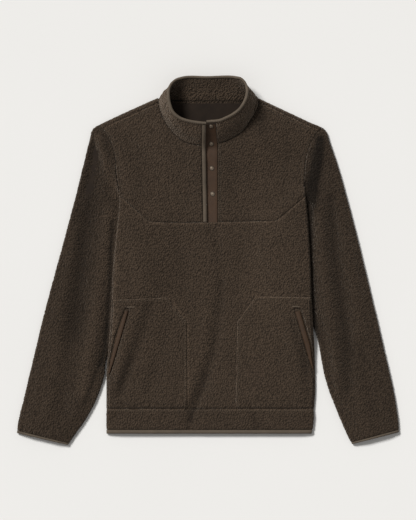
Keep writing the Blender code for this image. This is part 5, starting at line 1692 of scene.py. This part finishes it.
def fleece_look():
    """Pile in knots, with painted shade between them and low in the pile, a painted highlight on
    their tops, and the painted light and shade from the mesh.
    """
    made, tree, place = looks("pile_fleece", 1.0, 0.0, FLEECE_SHEEN, FLEECE_TINT, 0.12)
    depth, painted_light = (
        node(tree, "ShaderNodeAttribute", attribute_name=name).outputs["Fac"]
        for name in ("pile", "painted_light")
    )
    # painted shade low in the pile and at seams, and a painted highlight on the tops of its knots
    stops = ((0.0, times(FLEECE, 0.81)), (PILE_MIDDLE, FLEECE), (0.95, times(FLEECE, 1.22)))
    colour = ramp(tree, depth, stops)
    colour = mottled(tree, place, colour, 380.0, 0.78, 1.24)
    colour = mottled(tree, place, colour, 16.0, 0.95, 1.05)
    # the painted light and shade from the mesh
    colour = multiplied(tree, colour, painted_light)
    long = node(tree, "ShaderNodeMapping", {"Vector": place, "Scale": KNOT_SCALE})
    inputs = {"Vector": long.outputs["Vector"], "Scale": 1.0, "Randomness": 0.9}
    knots = node(tree, "ShaderNodeTexVoronoi", inputs).outputs["Distance"]
    # painted shade in the hollows between the knots
    between = ramp(tree, knots, ((0.25, (1.12,) * 3), (0.75, (0.55,) * 3)))
    fibre = noise(tree, place, 1500.0, 4.0)
    bumps = ((knots, 1.0, -KNOT_HEIGHT), (fibre, 0.5, 0.0006))
    return finished(made, multiplied(tree, colour, between), bumps)


def backing_look():
    """The smooth knit inside."""
    made, tree, place = looks("knit_backing", 0.85, 0.0, 0.15, FLEECE_TINT, 0.2)
    wales = wave(tree, place, 260.0, 1.2)
    bumps = ((wales, 0.3, 0.0003), (noise(tree, place, 1200.0), 0.3, 0.0002))
    return finished(made, mottled(tree, place, BACKING, 60.0, 0.8, 1.2), bumps)


def woven_look(name, colour, ribs, direction, roughness, sheen):
    """A woven tape or binding: fine ribs with threads across them, lighter on their tops and darker
    between them.
    """
    made, tree, place = looks(name, roughness, 0.0, sheen, times(colour, 4.0), 0.35)
    across = {"X": "Y", "Y": "X"}[direction]
    rib = wave(tree, place, ribs, 0.6, direction, 1.0)
    weft = wave(tree, place, ribs * 1.7, 0.8, across, 1.0)
    tone = ramp(tree, rib, ((0.0, times(colour, 0.78)), (1.0, times(colour, 1.12))))
    tone = mottled(tree, place, tone, 700.0, 0.88, 1.12)
    tone = mottled(tree, place, tone, 45.0, 0.86, 1.14)
    fibre = noise(tree, place, 1600.0)
    return finished(made, tone, ((rib, 0.5, 0.0005), (weft, 0.3, 0.0003), (fibre, 0.3, 0.0002)))


def thread_look():
    """Sewing thread of twisted plies."""
    made, tree, place = looks("sewing_thread", 0.6, 0.0, 0.2, times(THREAD, 4.0), 0.35)
    ply = wave(tree, place, 900.0, 2.0, "DIAGONAL")
    return finished(made, mottled(tree, place, THREAD, 500.0, 0.85, 1.15), ((ply, 0.5, 0.0003),))


def metal_look(name, colour):
    """Worn metal, uneven in tone."""
    made, tree, place = looks(name, 0.55, 0.6, 0.0, (1.0, 1.0, 1.0), 0.5)
    worn = noise(tree, place, 420.0, 4.0)
    stops = ((0.3, times(colour, 0.7)), (0.6, colour), (0.8, times(colour, 1.3)))
    return finished(made, ramp(tree, worn, stops), ((worn, 0.15, 0.0002),))


def floor():
    """A sheet of off-white paper."""
    mesh = bpy.data.meshes.new("floor")
    corners = [(x * FLOOR_SIZE / 2, y * FLOOR_SIZE / 2, FLOOR_Z) for x, y in SQUARE]
    mesh.from_pydata(corners, [], [(0, 1, 2, 3)])
    made = bpy.data.objects.new("floor", mesh)
    bpy.context.scene.collection.objects.link(made)
    surface, tree, place = looks("paper_floor", 0.9, specular=0.1)
    mesh.materials.append(finished(surface, mottled(tree, place, PAPER, 3.0, 0.995, 1.005)))


def stage():
    """Floor, soft light from the upper left, and the camera straight above."""
    scene = bpy.context.scene
    scene.view_settings.view_transform = "Standard"
    floor()
    world = bpy.data.worlds.new("studio")
    world.use_nodes = True
    sky = world.node_tree.nodes["Background"].inputs
    sky["Color"].default_value = (*SKY, 1.0)
    sky["Strength"].default_value = SKY_STRENGTH
    scene.world = world
    light = bpy.data.lights.new("key", "SUN")
    light.energy = LIGHT_STRENGTH
    light.angle = LIGHT_SPREAD
    lamp = bpy.data.objects.new("key", light)
    lamp.rotation_euler = Vector(LIGHT_WAY).to_track_quat("-Z", "Y").to_euler()
    scene.collection.objects.link(lamp)
    camera = bpy.data.cameras.new("camera")
    camera.lens = LENS
    camera.sensor_width = SENSOR
    camera.clip_end = VIEW_END
    eye = bpy.data.objects.new("camera", camera)
    eye.location = (VIEW_X, VIEW_Y, VIEW_TALL / 2 * LENS / (SENSOR / 2))
    scene.collection.objects.link(eye)
    scene.camera = eye


def hem(cloth, bound):
    """The band of the hem and its bound edge. Returns the stitched lines."""
    split = HEM_Y + HEM_BINDING
    y = np.linspace(split + GAP / 2, BAND_TOP_Y - GAP / 2, BAND_ROWS)
    band_stitch = BAND_TOP_Y - BAND_STITCH
    body_band("hem_band", y, cloth, np.zeros(len(y)), band_stitch, 30.0)
    y = np.linspace(HEM_Y, split - GAP / 2, HEM_ROWS)
    body_band("hem_binding", y, bound, bound_profile(np.linspace(0.0, 1.0, len(y))))
    lines = []
    for at in (band_stitch, split - 1.6):
        x = np.arange(left_x(at) + 6.0, right_x(at) - 6.0, STITCH_PITCH)
        lines.append((np.column_stack([x, np.full(len(x), at)]), front_top))
    return lines


def main():
    """Each cloth is the look of its upper face, that of its lower face, and its slot."""
    stage()
    fleece = (fleece_look(), backing_look(), "fleece")
    looks_of_tape = (
        ("folded_binding", BINDING, 240.0, "X", 0.75, 0.15),
        ("woven_tape", TAPE, 230.0, "Y", 0.65, 0.03),
        ("woven_welt", WELT, 230.0, "Y", 0.65, 0.03),
    )
    binding, woven, ribbed = (woven_look(*each) for each in looks_of_tape)
    bound = (binding, binding, "binding")
    thread = thread_look()
    metal = metal_look("snap_bronze", BRONZE)
    dark = metal_look("snap_rim", times(BRONZE, 0.32))

    back(fleece)
    lines = fronts(fleece) + hem(fleece, bound)
    sleeves(fleece, bound)
    bound_lines = [collar(fleece, bound), placket(bound, (woven, woven, "tape"), metal, dark)]
    for letter, side, _, slit in POCKETS:
        welt(f"pocket_welt_{letter}", side, slit, (ribbed, ribbed, "tape"))
    sewing(lines, bound_lines, thread)


main()
